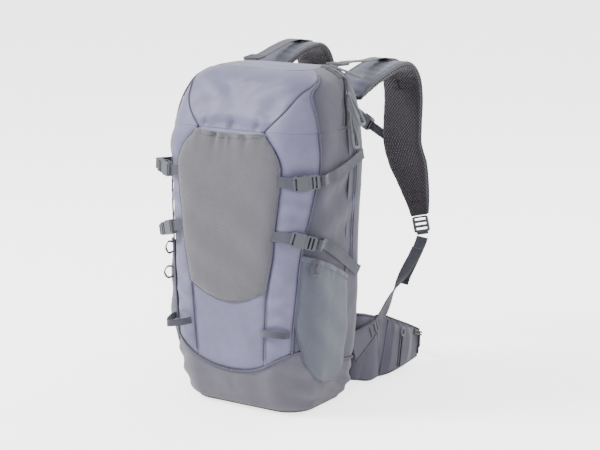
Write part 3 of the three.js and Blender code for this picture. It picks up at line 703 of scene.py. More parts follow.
# ---------------------------------------------------------------- boot, front, strips, sides and back
BOOT_TOP = [
    (0.0, 0.060), (0.04, 0.064), (0.07, 0.080), (0.095, 0.096), (0.12, 0.102), (0.15, 0.090), (0.19, 0.070),
    (0.24, 0.060), (0.30, 0.058),
]


def boot_top(t):
    """The boot's upper seam: low in the front middle, high at the corner, and level along the side."""
    return eased_table(BOOT_TOP, t, 0.02)


def between_seams(left, right, top):
    """Lower and upper edges of a panel that stands on the boot."""
    def low(a):
        height = 0.085
        for _ in range(4):
            height = boot_top(mix(left(height), right(height), a))
        return height
    return (low, constant(top))


def front_folds(a, b, t, height):
    slack = 0.0022 * math.sin(b * math.pi)
    drag = 0.0013 * math.sin(38 * b + 3.2 * a) * hump(b, 0.16, 0.2)
    return slack + drag


def strip_folds(a, b, t, height):
    """Short folds across the narrow corner strip, where the compression straps pull it in."""
    crown = math.sin(math.pi * a)
    ripple = 0.0030 * math.sin(height * 150 + a * 0.9 + 2.2 * math.sin(height * 41)) * crown ** 0.7
    pulled = -0.0034 * (hump(height, 0.341, 0.016) + hump(height, 0.266, 0.016)) * crown
    return (ripple + pulled) * min(1.0, max(0.0, (SEAM - height) / 0.02))


def side_folds(a, b, t, height):
    place = hump(a, 0.42, 0.42) * hump(height, 0.31, 0.085)
    drag = 0.0026 * math.sin((height - 0.35 * a * 0.14) * 96 + 1.3) * place
    crown = 0.0018 * math.sin(math.pi * a) * math.sin(math.pi * min(max(b, 0), 1))
    pulled = -0.0024 * (hump(height, 0.352, 0.012) + hump(height, 0.235, 0.012)) * (1 - a)
    return drag + crown + pulled


def boot_folds(b, t, height):
    """Folds at the front corner, slack under the seam, and the squashed cloth where the bag stands."""
    corner = 0.0022 * hump(t, 0.115, 0.030) * math.sin(height * 190 + t * 60)
    slack = 0.0012 * math.sin(t * 120) * hump(b, 0.8, 0.3)
    squashed = hump(t, 0.235, 0.045) * hump(height, 0.026, 0.022)
    return corner + slack + 0.0030 * squashed * math.sin(height * 210 + t * 120)


def boot_rows(side):
    rows, columns = 30, 110
    grid = []
    for j in range(rows + 1):
        share = j / rows
        line = []
        for i in range(columns + 1):
            a = i / columns
            height = 0.01
            for _ in range(3):
                t = a * t_back(max(height, 0.01))
                height = mix(FOOT, boot_top(t), share)
            point = surface(t, height)
            lift = soft_cloth(mirrored(point, side), 1.1, 2.0) + boot_folds(share, t, height)
            lift *= (1 - math.exp(-(1 - share) * 6)) * min(1.0, height / 0.018)
            lift -= 0.0024 * math.exp(-(1 - share) * 22)
            moved = point + outward(t, height) * lift
            line.append(Vector((moved.x * side, moved.y, max(moved.z, 0.0004))))
        grid.append(line)
    return grid


def close_bag(name, height, rings, columns, centre, level, material, body, replaced):
    """A cap or a floor: rings that shrink from the outline at a height towards a centre."""
    def half_ring(share, side):
        line = []
        for i in range(columns + 1):
            point = surface(i / columns * t_back(height), height)
            x, y = point.x * side * share, mix(centre, point.y, share)
            line.append(Vector((x, y, level(share, x, y))))
        return line

    shares = [1 - k / rings for k in range(rings + 1)]
    grid = [half_ring(share, 1) + list(reversed(half_ring(share, -1)))[1:-1] for share in shares]
    finish_piece(ring_mesh(name, grid), material, body, replaced)


def build_boot():
    grid = [right + list(reversed(left))[1:-1] for right, left in zip(boot_rows(1), boot_rows(-1))]
    boot = ring_mesh("boot_cloth", grid, capped=False)
    finish_piece(boot, "base_cloth", "bag", ("base_boot",), CLOTH)
    close_bag("boot_floor", FOOT, 8, 40, 0.006, lambda share, x, y: 0.0006 + 0.001 * (1 - share),
              "base_cloth", "bag", ("base_boot",))


def build_panels():
    middle = constant(0.0)
    middle_panel("front_panel_cloth", (middle, t_front_seam), between_seams(middle, t_front_seam, SEAM),
                 "satin", "bag", ("front_panel",), front_folds, seed=2.0, wrinkle=1.1, flat=("start", "top"))
    middle_panel("back_panel_cloth", (t_back_seam, t_back), between_seams(t_back_seam, t_back, SEAM),
                 "side_cloth", "bag", ("back_panel",), columns=44, rows=90, seed=4.0, wrinkle=0.6,
                 flat=("end", "top"))
    for tag, side in SIDES:
        panel(f"corner_strip_{tag}_cloth", side, (t_front_seam, t_side_seam),
              between_seams(t_front_seam, t_side_seam, SEAM), "satin", "bag", (f"corner_strip_{tag}",),
              strip_folds, columns=26, rows=150, seed=2.0, wrinkle=1.3, flat=("top",))
        panel(f"side_panel_{tag}_cloth", side, (t_side_seam, t_back_seam),
              between_seams(t_side_seam, t_back_seam, SEAM), "side_cloth", "bag", (f"side_panel_{tag}",),
              side_folds, columns=56, rows=120, seed=4.0, wrinkle=1.2, flat=("top",))
        along_seam(f"side_piping_{tag}", t_side_seam, 0.092, SEAM, side, "bag", 0.0024)
        along_seam(f"back_piping_{tag}", t_back_seam, 0.064, SEAM, side, "bag", 0.0034)
        along_seam(f"front_piping_{tag}", t_front_seam, 0.084, 0.20, side, "bag", 0.0022)
        points = []
        for i in range(49):
            t = i / 48 * t_back(0.08)
            points.append(on_bag(t, boot_top(t), 0.0002, side))
        cord(f"boot_piping_{tag}", points, 0.0026, "piping", "bag", 130)


# ---------------------------------------------------------------- hood
def hood_folds(a, b, t, height):
    """Slack cloth over the shoulder: folds that run down from the top and settle towards the seam."""
    droop = 0.0030 * math.sin((t - 0.4 * height) * 88 + 1.7 * math.sin(height * 60)) * hump(b, 0.45, 0.4)
    drag = 0.0022 * math.sin(height * 150 + t * 34) * hump(b, 0.25, 0.3)
    tucks = hump(t, 0.0, 0.0055) + hump(t, 0.044, 0.0060)
    return (droop + drag) * min(1.0, b * 7) - 0.0052 * tucks * hump(height, 0.4155, 0.0075)


def cap_height(share, x, y):
    """The hood's top: the last rings lie almost flat, with a slight crown."""
    return TOP + 0.0022 * (1 - share * share) * (1 + 0.4 * math.sin(x * 70) * math.sin(y * 80))


def t_diagonal(height):
    """The seam that climbs from the front pocket's corner to the shoulder of the hood."""
    share = min(max((height - SEAM) / (0.480 - SEAM), 0), 1)
    return mix(t_front_seam(SEAM), t_side_seam(height) - 0.0012, share ** 1.1)


def build_hood():
    middle = constant(0.0)
    edges = (constant(SEAM), constant(TOP))
    middle_panel("hood_front_cloth", (middle, t_diagonal), edges, "satin", "hood", ("hood",), hood_folds,
                 columns=90, rows=100, seed=2.0, wrinkle=1.2, pinch=0.0016, flat=("start", "bottom", "top"))
    middle_panel("hood_back_cloth", (t_back_seam, t_back), edges, "side_cloth", "hood", ("hood",), None,
                 columns=44, rows=70, seed=4.0, wrinkle=0.6, pinch=0.0012, flat=("end", "bottom", "top"))
    for tag, side in SIDES:
        panel(f"hood_corner_{tag}_cloth", side, (t_diagonal, t_side_seam), edges, "satin", "hood", ("hood",),
              None, columns=30, rows=80, seed=2.0, wrinkle=1.2, pinch=0.0016, flat=("bottom", "top"))
        panel(f"hood_side_{tag}_cloth", side, (t_side_seam, t_back_seam), edges, "side_cloth", "hood",
              ("hood",), side_folds, columns=56, rows=80, seed=4.0, wrinkle=1.1, pinch=0.0020, flat=("bottom", "top"))
        along_seam(f"hood_piping_{tag}", t_side_seam, SEAM, HEIGHT - 0.006, side, "hood", 0.0022, 0.0002)
        along_seam(f"hood_back_piping_{tag}", t_back_seam, SEAM, HEIGHT - 0.006, side, "hood", 0.0034)
        along_seam(f"hood_diagonal_{tag}", t_diagonal, SEAM, 0.480, side, "hood", 0.0018, -0.0004)
    close_bag("hood_cap", TOP, 12, 60, 0.032, cap_height, "satin", "hood", ("hood",))


# ---------------------------------------------------------------- front and side pockets
# the front pocket's lower edge: a U, 163 mm up in the middle and 186 mm up where it meets the seams
POCKET_BOTTOM = [(0.0, 0.163), (0.018, 0.1645), (0.034, 0.169), (0.050, 0.1765), (0.066, 0.186)]
TUCKS = ((-0.021, 0.0042), (0.006, 0.0036), (0.031, 0.0042))


def hem(name, points, across, width, material, steps):
    finish_piece(Strip(points, across, width, 0.0022, steps).tube(name, FLAT), material, "bag")


def build_front_pocket():
    columns, rows = 120, 110
    grid = []
    for j in range(rows + 1):
        b = j / rows
        line = []
        for i in range(columns + 1):
            s = 2 * i / columns - 1
            side = 1 if s >= 0 else -1
            share = abs(s)
            height = 0.3
            for _ in range(6):
                x = share * along_table(POCKET_EDGE, height)
                top = 0.4045 - 0.004 * math.cos(x / 0.0575 * math.pi / 2) * (x < 0.0575)
                height = mix(along_table(POCKET_BOTTOM, x), top, b)
            t = t_of_x(x, height)
            rim = min((1 - share) * 0.09, b * 0.24)
            ease = 1 - math.exp(-rim / 0.010)
            bulge = 0.0096 * ease * (0.62 + 0.38 * math.sin(math.pi * min(b * 1.05, 1.0)))
            gather = math.exp(-(1 - b) / 0.055)
            pucker = 0.0011 * math.sin(x * side * 330 + 1.1 * math.sin(x * side * 90)) * gather
            deep = 0.0046 * sum(hump(x * side, *tuck) for tuck in TUCKS) * math.exp(-(1 - b) / 0.035)
            fold = 0.0018 * math.sin((x * side * 0.55 + height) * 92) * hump(b, 0.35, 0.4) * ease
            slack = soft_cloth(Vector((x * side, 0, height)), 0.6, 21) * ease
            lift = 0.0010 + bulge + pucker - deep + fold + slack
            line.append(on_bag(t, height, max(lift, 0.0006), side))
        grid.append(line)
    obj = sheet_mesh("front_pocket_cloth", grid)
    finish_piece(obj, "front_stretch", "bag", ("front_pocket",), CLOTH)
    mouth = [p + Vector((0, -0.0002, -0.0010)) for p in grid[-1][::8]]
    hem("front_pocket_hem", mouth, (0, 0.06, 1), 0.0065, "front_stretch", 150)
    for tag, column in (("r", -1), ("l", 0)):
        cord(f"front_pocket_seam_{tag}", [row[column] for row in grid], 0.0026, "piping", "bag", 90)
    cord("front_pocket_lower_seam", grid[0], 0.0026, "piping", "bag", 90)


# Y of the side pocket's front and back edges at a height
SIDE_FRONT = [
    (0.036, 0.016), (0.043, -0.026), (0.063, -0.0444), (0.080, -0.0585), (0.134, -0.0725), (0.237, -0.067),
]
SIDE_BACK = [(0.040, 0.012), (0.060, 0.030), (0.100, 0.036), (0.190, 0.0325)]


def build_side_pockets():
    columns, rows = 70, 90
    for tag, side in SIDES:
        grid = []
        for j in range(rows + 1):
            b = j / rows
            line = []
            for i in range(columns + 1):
                a = i / columns
                height = mix(mix(0.044, 0.040, a), mix(0.236, 0.190, a ** 1.15), b)
                y = mix(eased_table(SIDE_FRONT, height, 0.014), along_table(SIDE_BACK, height), a)
                t = t_of_y(max(y, -shape_at(height)[1] + 0.0006), height)
                rim = min(a * 0.11, (1 - a) * 0.11, b * 0.18)
                ease = 1 - math.exp(-max(rim, 0) / 0.012)
                bulge = 0.0102 * ease * (0.55 + 0.45 * math.sin(math.pi * min(b + 0.1, 1.0)))
                gather = math.exp(-(1 - b) / 0.07)
                pucker = 0.0006 * math.sin(a * 38 + 1.2 * math.sin(a * 13)) * gather * ease
                fold = 0.0024 * math.sin((y * 0.9 + height * 1.15) * 84) * ease * hump(b, 0.45, 0.42)
                lift = 0.0009 + bulge + pucker + fold + soft_cloth(Vector((side, y, height)), 0.7, 31) * ease
                line.append(on_bag(t, height, max(lift, 0.0006), side))
            grid.append(line)
        mouth = grid[-1][::7]
        edge = [row[0] for row in grid]
        if side < 0:
            grid = [list(reversed(line)) for line in grid]
        obj = sheet_mesh(f"side_pocket_{tag}_cloth", grid)
        finish_piece(obj, "side_stretch", "bag", (f"side_pocket_{tag}",), CLOTH)
        hem(f"side_pocket_hem_{tag}", mouth, (0, -0.2, 1), 0.0070, "side_stretch", 110)
        cord(f"side_pocket_edge_{tag}", edge, 0.0024, "piping", "bag", 90)


# ---------------------------------------------------------------- bands: straps, pads and webbing
class Strip:
    """A band along a path: its frames, and points on its faces."""

    def __init__(self, points, across, width, thickness, steps=80):
        path = smooth_path(points, steps)
        self.width = width if callable(width) else constant(width)
        self.thickness = thickness if callable(thickness) else constant(thickness)
        self.frames = []
        for i, (centre, along) in enumerate(directions(path)):
            share = i / (len(path) - 1)
            wide = Vector(across(share) if callable(across) else across)
            wide = (wide - along * along.dot(wide)).normalized()
            self.frames.append((share, centre, wide, along.cross(wide)))

    def at(self, share, s, t, extra=0.0):
        """s is -1 to 1 across, t is -1 to 1 through the thickness, extra is in metres beyond the face."""
        place = min(max(share, 0.0), 1.0) * (len(self.frames) - 1)
        k = min(int(place), len(self.frames) - 2)
        part = place - k
        centre, wide, up = (low.lerp(high, part) for low, high in zip(self.frames[k][1:], self.frames[k + 1][1:]))
        sign = 1 if t >= 0 else -1
        reach = t * self.thickness(share) / 2 + sign * extra
        return centre + wide.normalized() * s * self.width(share) / 2 + up.normalized() * reach

    def tube(self, name, profile, ripple=None):
        rings = []
        for share, _, _, _ in self.frames:
            rings.append([self.at(share, s, t, ripple(share, s, t) if ripple else 0.0) for s, t in profile])
        return ring_mesh(name, rings)

    def face(self, name, t, extra, inset=1.0, columns=20, low=0.0, high=1.0, ripple=None):
        rows = []
        count = len(self.frames)
        for i in range(count):
            share = mix(low, high, i / (count - 1))
            row = []
            for k in range(columns + 1):
                s = (2 * k / columns - 1) * inset
                lift = extra + (ripple(share, s, t) if ripple else 0.0)
                row.append(self.at(share, s, t * (1 - 0.25 * abs(s) ** 6), lift))
            rows.append(row if t < 0 else list(reversed(row)))
        return sheet_mesh(name, rows)

    def line(self, s, t, extra, low=0.0, high=1.0, count=60):
        return [self.at(mix(low, high, i / count), s, t, extra) for i in range(count + 1)]


PADDED = [(-1.0, 0.0), (-0.985, 0.42), (-0.93, 0.74), (-0.82, 0.92), (-0.55, 1.0), (-0.2, 1.03)]
PADDED += [(-s, t) for s, t in reversed(PADDED)]
PADDED += [(s, -t) for s, t in reversed(PADDED[1:-1])]


def fit(obj, material, body, replaced=(), between=None):
    """Finish a piece that rides one body, or one that lies between two, left unattached with its transform baked in."""
    finish_piece(obj, material, None if between else body, replaced)
    if between:
        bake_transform(obj)


SELVEDGE = [(-1, -0.7), (-1, 0.7), (-0.93, 1.15), (-0.80, 0.8), (0, 0.75), (0.80, 0.8), (0.93, 1.15)]
SELVEDGE += [(-s, -t) for s, t in SELVEDGE]


def web(name, points, across, width, material="webbing", body=None, replaced=(), between=None, steps=40):
    """Flat webbing with a slightly raised, thicker selvedge."""
    strip = Strip(points, across, width, 0.0014, steps)
    fit(strip.tube(name, SELVEDGE), material, body, replaced, between)
    return strip


def tack(name, strip, share, t, s_from=-0.85, s_to=0.85, material="thread", body=None, between=None,
         extra=0.0007):
    """A bar-tack: a dense row of stitches across a band."""
    points = [strip.at(share, mix(s_from, s_to, i / 14), t, extra + 0.0003 * (i % 2)) for i in range(15)]
    obj = cord(name, points, 0.0012, material, None if between else body)
    if between:
        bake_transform(obj)


# ---------------------------------------------------------------- shoulder straps
LIFT = {"r": 0.0, "l": 20.0}
STRAP_VIEW = [(92.5, 440, 0), (130, 456, 0.7), (166, 466, 1), (210, 475, 1), (240, 472, 1), (262, 452, 0.8),
              (270, 420, 0), (268, 380, 0), (270, 345, 0), (278, 300, 0), (281, 262, 0), (280, 236, 0)]


def strap_points(side, lift):
    points = []
    for order, (y, z, share) in enumerate(STRAP_VIEW):
        x = 78 if order < 8 else mix(78, 105, (345 - z) / (345 - 236))
        points.append(Vector((side * x, y, z + share * lift)) * MM)
    return points


def strap_width(share):
    return mix(0.064, 0.028, max(0.0, share - 0.80) / 0.20)


def strap_thickness(share):
    return min(0.0125, 0.0045 + share * 0.09, 0.0045 + (1 - share) * 0.09)


def strap_ripple(share, s, t):
    """Foam that creases across the bend at the crest."""
    crest = hump(share, 0.42, 0.06) * (1 if t > 0 else 0.3)
    return -0.0009 * crest * (0.5 + 0.5 * math.sin(share * 620)) + 0.0003 * math.sin(share * 150 + s * 3)


def build_straps():
    for tag, side in SIDES:
        body = f"strap_{tag}"
        strip = Strip(strap_points(side, LIFT[tag]), (1, 0, 0), strap_width, strap_thickness, 200)
        pad = strip.tube(f"strap_pad_{tag}", PADDED, strap_ripple)
        fit(pad, "spacer_mesh", body, (f"shoulder_strap_{tag}",))
        outer = strip.face(f"strap_face_{tag}", -1, 0.0006, 0.90, 24, 0.004, 0.997, strap_ripple)
        fit(outer, "strap_cloth", body, (f"shoulder_strap_{tag}",))
        for edge, s in (("in", -0.955), ("out", 0.955)):
            line = strip.line(s, -0.62, 0.0002, 0.003, 0.997, 120)
            cord(f"strap_binding_{edge}_{tag}", line, 0.0052, "binding", body, 150)
            stitch = strip.line(s * 0.86, -1.0, 0.0009, 0.01, 0.99, 120)
            cord(f"strap_stitch_{edge}_{tag}", stitch, 0.0008, "thread", body, 200)
        webbing_line = [strip.at(x / 40, 0, -1, 0.0019) for x in range(12, 40)]
        web(f"strap_daisy_{tag}", webbing_line, (1, 0, 0), 0.020, body=body, steps=90)
        for order, share in enumerate((0.30, 0.44, 0.58, 0.71, 0.84)):
            tack(f"strap_daisy_tack_{order}_{tag}", strip, share, -1, -0.26, 0.26, "dark", body, extra=0.0030)
        # a T of heavy stitches at the crest and two short rows near the tip, on the mesh side
        spine = [strip.at(mix(0.452, 0.492, i / 8), -0.10 * side, 1, 0.0006) for i in range(9)]
        cord(f"strap_tack_spine_{tag}", spine, 0.0020, "dark", body, 16)
        rows = (("top", 0.494, -0.42, 0.16), ("tip_a", 0.905, -0.5, 0.35), ("tip_b", 0.945, -0.5, 0.35))
        for name, share, low, high in rows:
            tack(f"strap_tack_{name}_{tag}", strip, share, 1, low, high, "dark", body, extra=0.0006)
        rail = [strip.at(0.62 + 0.17 * i / 20, -0.80 * side, -1, 0.0022) for i in range(21)]
        web(f"sternum_rail_{tag}", rail, (1, 0, 0), 0.006, "binding", body, steps=40)


# ---------------------------------------------------------------- harness webbing
def mm(*places, side=1):
    """Points given in millimetres for the right side, in metres for the side asked for."""
    return [Vector((x * side, y, z)) * MM for x, y, z in places]


def corner_point(height, turn, side, out):
    """A point on a front corner, in millimetres. turn is 0 at the side and 90 at the front."""
    o = Outline(height * MM)
    return on_bag(o.flat + o.rf * math.radians(90 - turn), height * MM, out * MM, side)


def quarter_turn(side):
    """The lower webbing's direction across, as it turns between the anchor tab and the strap's lock."""
    def across(share):
        ease = min(max((share - 0.15) / 0.6, 0), 1)
        ease = ease * ease * (3 - 2 * ease)
        return Vector((0, -0.57, 0.82)).lerp(Vector((side, 0, 0)), ease)
    return across


def build_harness_webs():
    for tag, side in SIDES:
        lift = LIFT[tag]
        strap = f"strap_{tag}"
        start = 488.6 + lift * 0.2
        points = mm((72.6, 98, start - 1), (73, 112, start + 1.0), (74, 165, 487 + lift * 0.9),
                    (75, 198, 488 + lift), (76, 222, 484.4 + lift), (76, 240, 481 + lift), side=side)
        ends = ("bag", strap, points[0], points[-2])
        lifter = web(f"lifter_{tag}", points, (1, 0, 0), WIDE_WEB, replaced=(f"lifter_web_{tag}",),
                     between=ends, steps=60)
        for row, share in (("", 0.93), ("b_", 0.985)):
            tack(f"lifter_tack_{row}{tag}", lifter, share, -1, material="dark", between=ends)
        root = mm((72, 58, 478), (72, 70, 485.5), (72, 78, 488.6), side=side)
        web(f"lifter_root_{tag}", root, (1, 0, 0), WIDE_WEB, body="bag", steps=16)
        lower = mm((109, 143.4, 91), (106.5, 168, 104), (106, 200, 130), (108, 240, 162), (111, 268, 188),
                   (112.6, 277.1, 203), side=side)
        ends = ("bag", strap, lower[0], lower[-1])
        strip = web(f"strap_web_lower_{tag}", lower, quarter_turn(side), WIDE_WEB,
                    replaced=(f"strap_web_{tag}",), between=ends, steps=90)
        tail = mm((111, 266, 187), (108, 252, 168), (104, 238, 148), (103, 231, 136), side=side)
        free = web(f"strap_tail_{tag}", tail, (side, 0.15, 0), WIDE_WEB, between=ends, steps=30)
        tack(f"strap_tail_hem_{tag}", free, 0.90, 1, material="dark", between=ends)
        tack(f"strap_web_stitch_{tag}", strip, 0.06, 1, material="thread", between=ends)
        build_anchor_tab(tag, side)


def build_anchor_tab(tag, side):
    points = mm((102.5, 84, 68), (106, 112, 78), (108.6, 142, 90), side=side)
    strip = Strip(points, (0, -0.12, 1), lambda share: mix(0.050, 0.021, share), 0.0022, 30)
    fit(strip.tube(f"anchor_{tag}", FLAT), "side_cloth", "bag", (f"anchor_tab_{tag}",))
    for edge, s in (("low", -0.93), ("high", 0.93)):
        line = strip.line(s, side, 0.0004, 0.0, 1.0, 20)
        cord(f"anchor_edge_{edge}_{tag}", line, 0.0022, "binding", "bag", 24)
    for order, share in enumerate((0.72, 0.90)):
        tack(f"anchor_stitch_{order}_{tag}", strip, share, side, -0.6, 0.6, "dark", "bag")


# ---------------------------------------------------------------- side compression and tool loops
COMPRESSION = {
    ("upper", "r"): ((119.1, -66.2, 343.4), (0.667, 0.741, 0.080)),
    ("lower", "r"): ((114.9, -67.4, 260.6), (0.641, 0.712, -0.287)),
    ("upper", "l"): ((-116.3, -74.7, 344.8), (-0.896, 0.437, 0.080)),
    ("lower", "l"): ((-111.4, -76.2, 255.7), (-0.861, 0.420, -0.287)),
}
WEB_ROUTE = {"upper": (343, 346, 356, 365), "lower": (262, 250, 222, 203)}


def build_side_webs():
    for (level, tag), (place, along) in COMPRESSION.items():
        side = 1 if tag == "r" else -1
        origin, along = Vector(place) * MM, Vector(along).normalized()
        upright = (Vector((0, 0, 1)) - along * along.z).normalized()
        outward_way = upright.cross(along) if side < 0 else along.cross(upright)
        buckle, front, middle, rear = WEB_ROUTE[level]
        plug_end = origin + along * 0.019 + outward_way * 0.0044
        points = [plug_end, origin + along * 0.0255 + outward_way * 0.0030]
        points.append(corner_point(mix(buckle, front, 0.8), 5, side, 3.4))
        past = rear + (rear - middle) * 0.35
        for y, z in ((-14, mix(front, middle, 0.35)), (15, middle), (44, rear), (56, past)):
            points.append(on_side(y, z, 0.0056, side))
        ends = ("bag", f"plug_{level}_{tag}", points[-2], points[0])
        name = f"compression_{level}_{tag}"
        strip = web(f"{name}_webbing", points, upright, NARROW_WEB,
                    replaced=(f"compression_web_{level}_{tag}",), between=ends, steps=70)
        for order, share in enumerate((0.90, 0.975)):
            tack(f"{name}_stitch_{order}", strip, share, -side, material="dark", between=ends)
        # the sewn tab that holds the socket, folded round its bar
        sewn_height = buckle + (2 if level == "upper" else 5)
        seam = corner_point(sewn_height, 84 if tag == "r" else 86, side, 2.6)
        bar = origin - along * 0.0178 + outward_way * 0.0046
        turn = origin - along * 0.0160 + outward_way * 0.0060
        tab = [seam, seam.lerp(bar, 0.5) + outward_way * 0.0006, bar, turn]
        tab_strip = web(f"{name}_tab", tab, upright, NARROW_WEB, body="bag", steps=30)
        tack(f"{name}_tab_stitch", tab_strip, 0.30, -side, material="thread", body="bag")


TOOL_LOOPS = {
    "r": [(95, 2.6, -3), (86, 7, 0), (74, 10, 1), (62, 8, 0), (54, 2.4, -1)],
    "l": [(88, 2.6, 0), (80, 14, -2), (66, 25, -5), (56, 14, -2), (52, 2.4, 0)],
}


def build_tool_loops():
    for tag, side in SIDES:
        points = [corner_point(127 + drop, turn, side, out) for turn, out, drop in TOOL_LOOPS[tag]]
        strip = web(f"tool_loop_{tag}_webbing", points, (0, 0, 1), 0.010, body="bag",
                    replaced=(f"tool_loop_{tag}",), steps=36)
        for order, share in enumerate((0.07, 0.93)):
            tack(f"tool_loop_stitch_{order}_{tag}", strip, share, -side, material="dark", body="bag")
    # elastic pole holders on the left, and a small loop at the right pocket's edge
    for order, (height, reach) in enumerate(((225, 13), (188, 16))):
        path = ((7, 36, 1.5), (8, 40, reach * 0.7), (0, 40, reach), (-8, 40, reach * 0.7), (-7, 36, 1.5))
        loop = [corner_point(height + rise, turn, -1, out) for rise, turn, out in path]
        web(f"pole_holder_{order}", loop, (0.5, -0.86, 0), 0.007, "binding", "bag", steps=40)
    loop = [corner_point(222 + drop, 18 + turn, 1, out) for turn, out, drop in (
        (0, 6.0, 9), (8, 12.5, 6), (11, 13.5, -2), (8, 12.5, -9), (0, 6.0, -12))]
    web("pocket_loop", loop, (0.4, 0.9, 0), 0.007, "binding", "bag", steps=30)


# ---------------------------------------------------------------- back: pads, lumbar pad and haul loop
def quilted(share, s, t):
    """Cross channels sewn through a pad."""
    return -0.0024 * sum(hump(share, k, 0.012) for k in (0.2, 0.4, 0.6, 0.8)) * (1 if t > 0 else 0)


def build_back():
    for tag, side in SIDES:
        points = mm(*[(side * 42, 94.2, z) for z in (132, 200, 268, 336, 404)])
        width = lambda share: 0.058 * min(1.0, (1 - abs(2 * share - 1) ** 14 * 0.45))
        strip = Strip(points, (1, 0, 0), width, lambda share: 0.011 * (1 - 0.35 * abs(2 * share - 1) ** 16), 150)
        facing = 1 if strip.at(0.5, 0, 1).y > strip.at(0.5, 0, -1).y else -1
        pad = strip.tube(f"back_pad_{tag}_mesh", PADDED, lambda share, s, t, f=facing: quilted(share, s, t * f))
        fit(pad, "spacer_mesh", "bag", (f"back_pad_{tag}",))
        for edge in (-1, 1):
            line = strip.line(edge * 0.99, 0, 0.0, 0.0, 1.0, 80)
            cord(f"back_pad_piping_{'a' if edge < 0 else 'b'}_{tag}", line, 0.0034, "piping", "bag", 90)
    bend = [(101, 149.7, 53), (101, 142, 53), (97, 125, 58), (89, 105, 64), (70, 96.5, 67), (50, 94.5, 67)]
    points = mm(*bend, (0, 94.5, 67), *[(-x, y, z) for x, y, z in reversed(bend)])
    strip = Strip(points, (0, 0, 1), lambda share: mix(0.104, 0.098, (2 * share - 1) ** 2), 0.0108, 120)
    facing = 1 if strip.at(0.5, 0, 1).y > strip.at(0.5, 0, -1).y else -1
    pad = strip.tube("lumbar_pad_mesh", PADDED, lambda share, s, t: quilted(share, s, t * facing))
    fit(pad, "spacer_mesh", "bag", ("lumbar_pad",))
    outer = strip.face("lumbar_face", -facing, 0.0007, 0.95, 24)
    fit(outer, "side_cloth", "bag", ("lumbar_pad",))
    for order, s in enumerate((-0.985, 0.985)):
        cord(f"lumbar_piping_{order}", strip.line(s, 0, 0.0004, 0, 1, 120), 0.0036, "piping", "bag", 120)
    loop = [(32, 91, 464), (31, 91.4, 446), (22, 91.8, 430)]
    points = mm(*loop, (0, 92, 424), *[(-x, y, z) for x, y, z in reversed(loop)])
    turn = lambda share: Vector((math.cos(math.pi * share), 0, math.sin(math.pi * share)))
    strip = Strip(points, turn, 0.0105, 0.0032, 60)
    fit(strip.tube("haul_loop_webbing", FLAT), "webbing", "haul_loop", ("haul_loop",))
    for order, share in enumerate((0.05, 0.95)):
        tack(f"haul_stitch_{order}", strip, share, 1, material="dark", body="haul_loop")


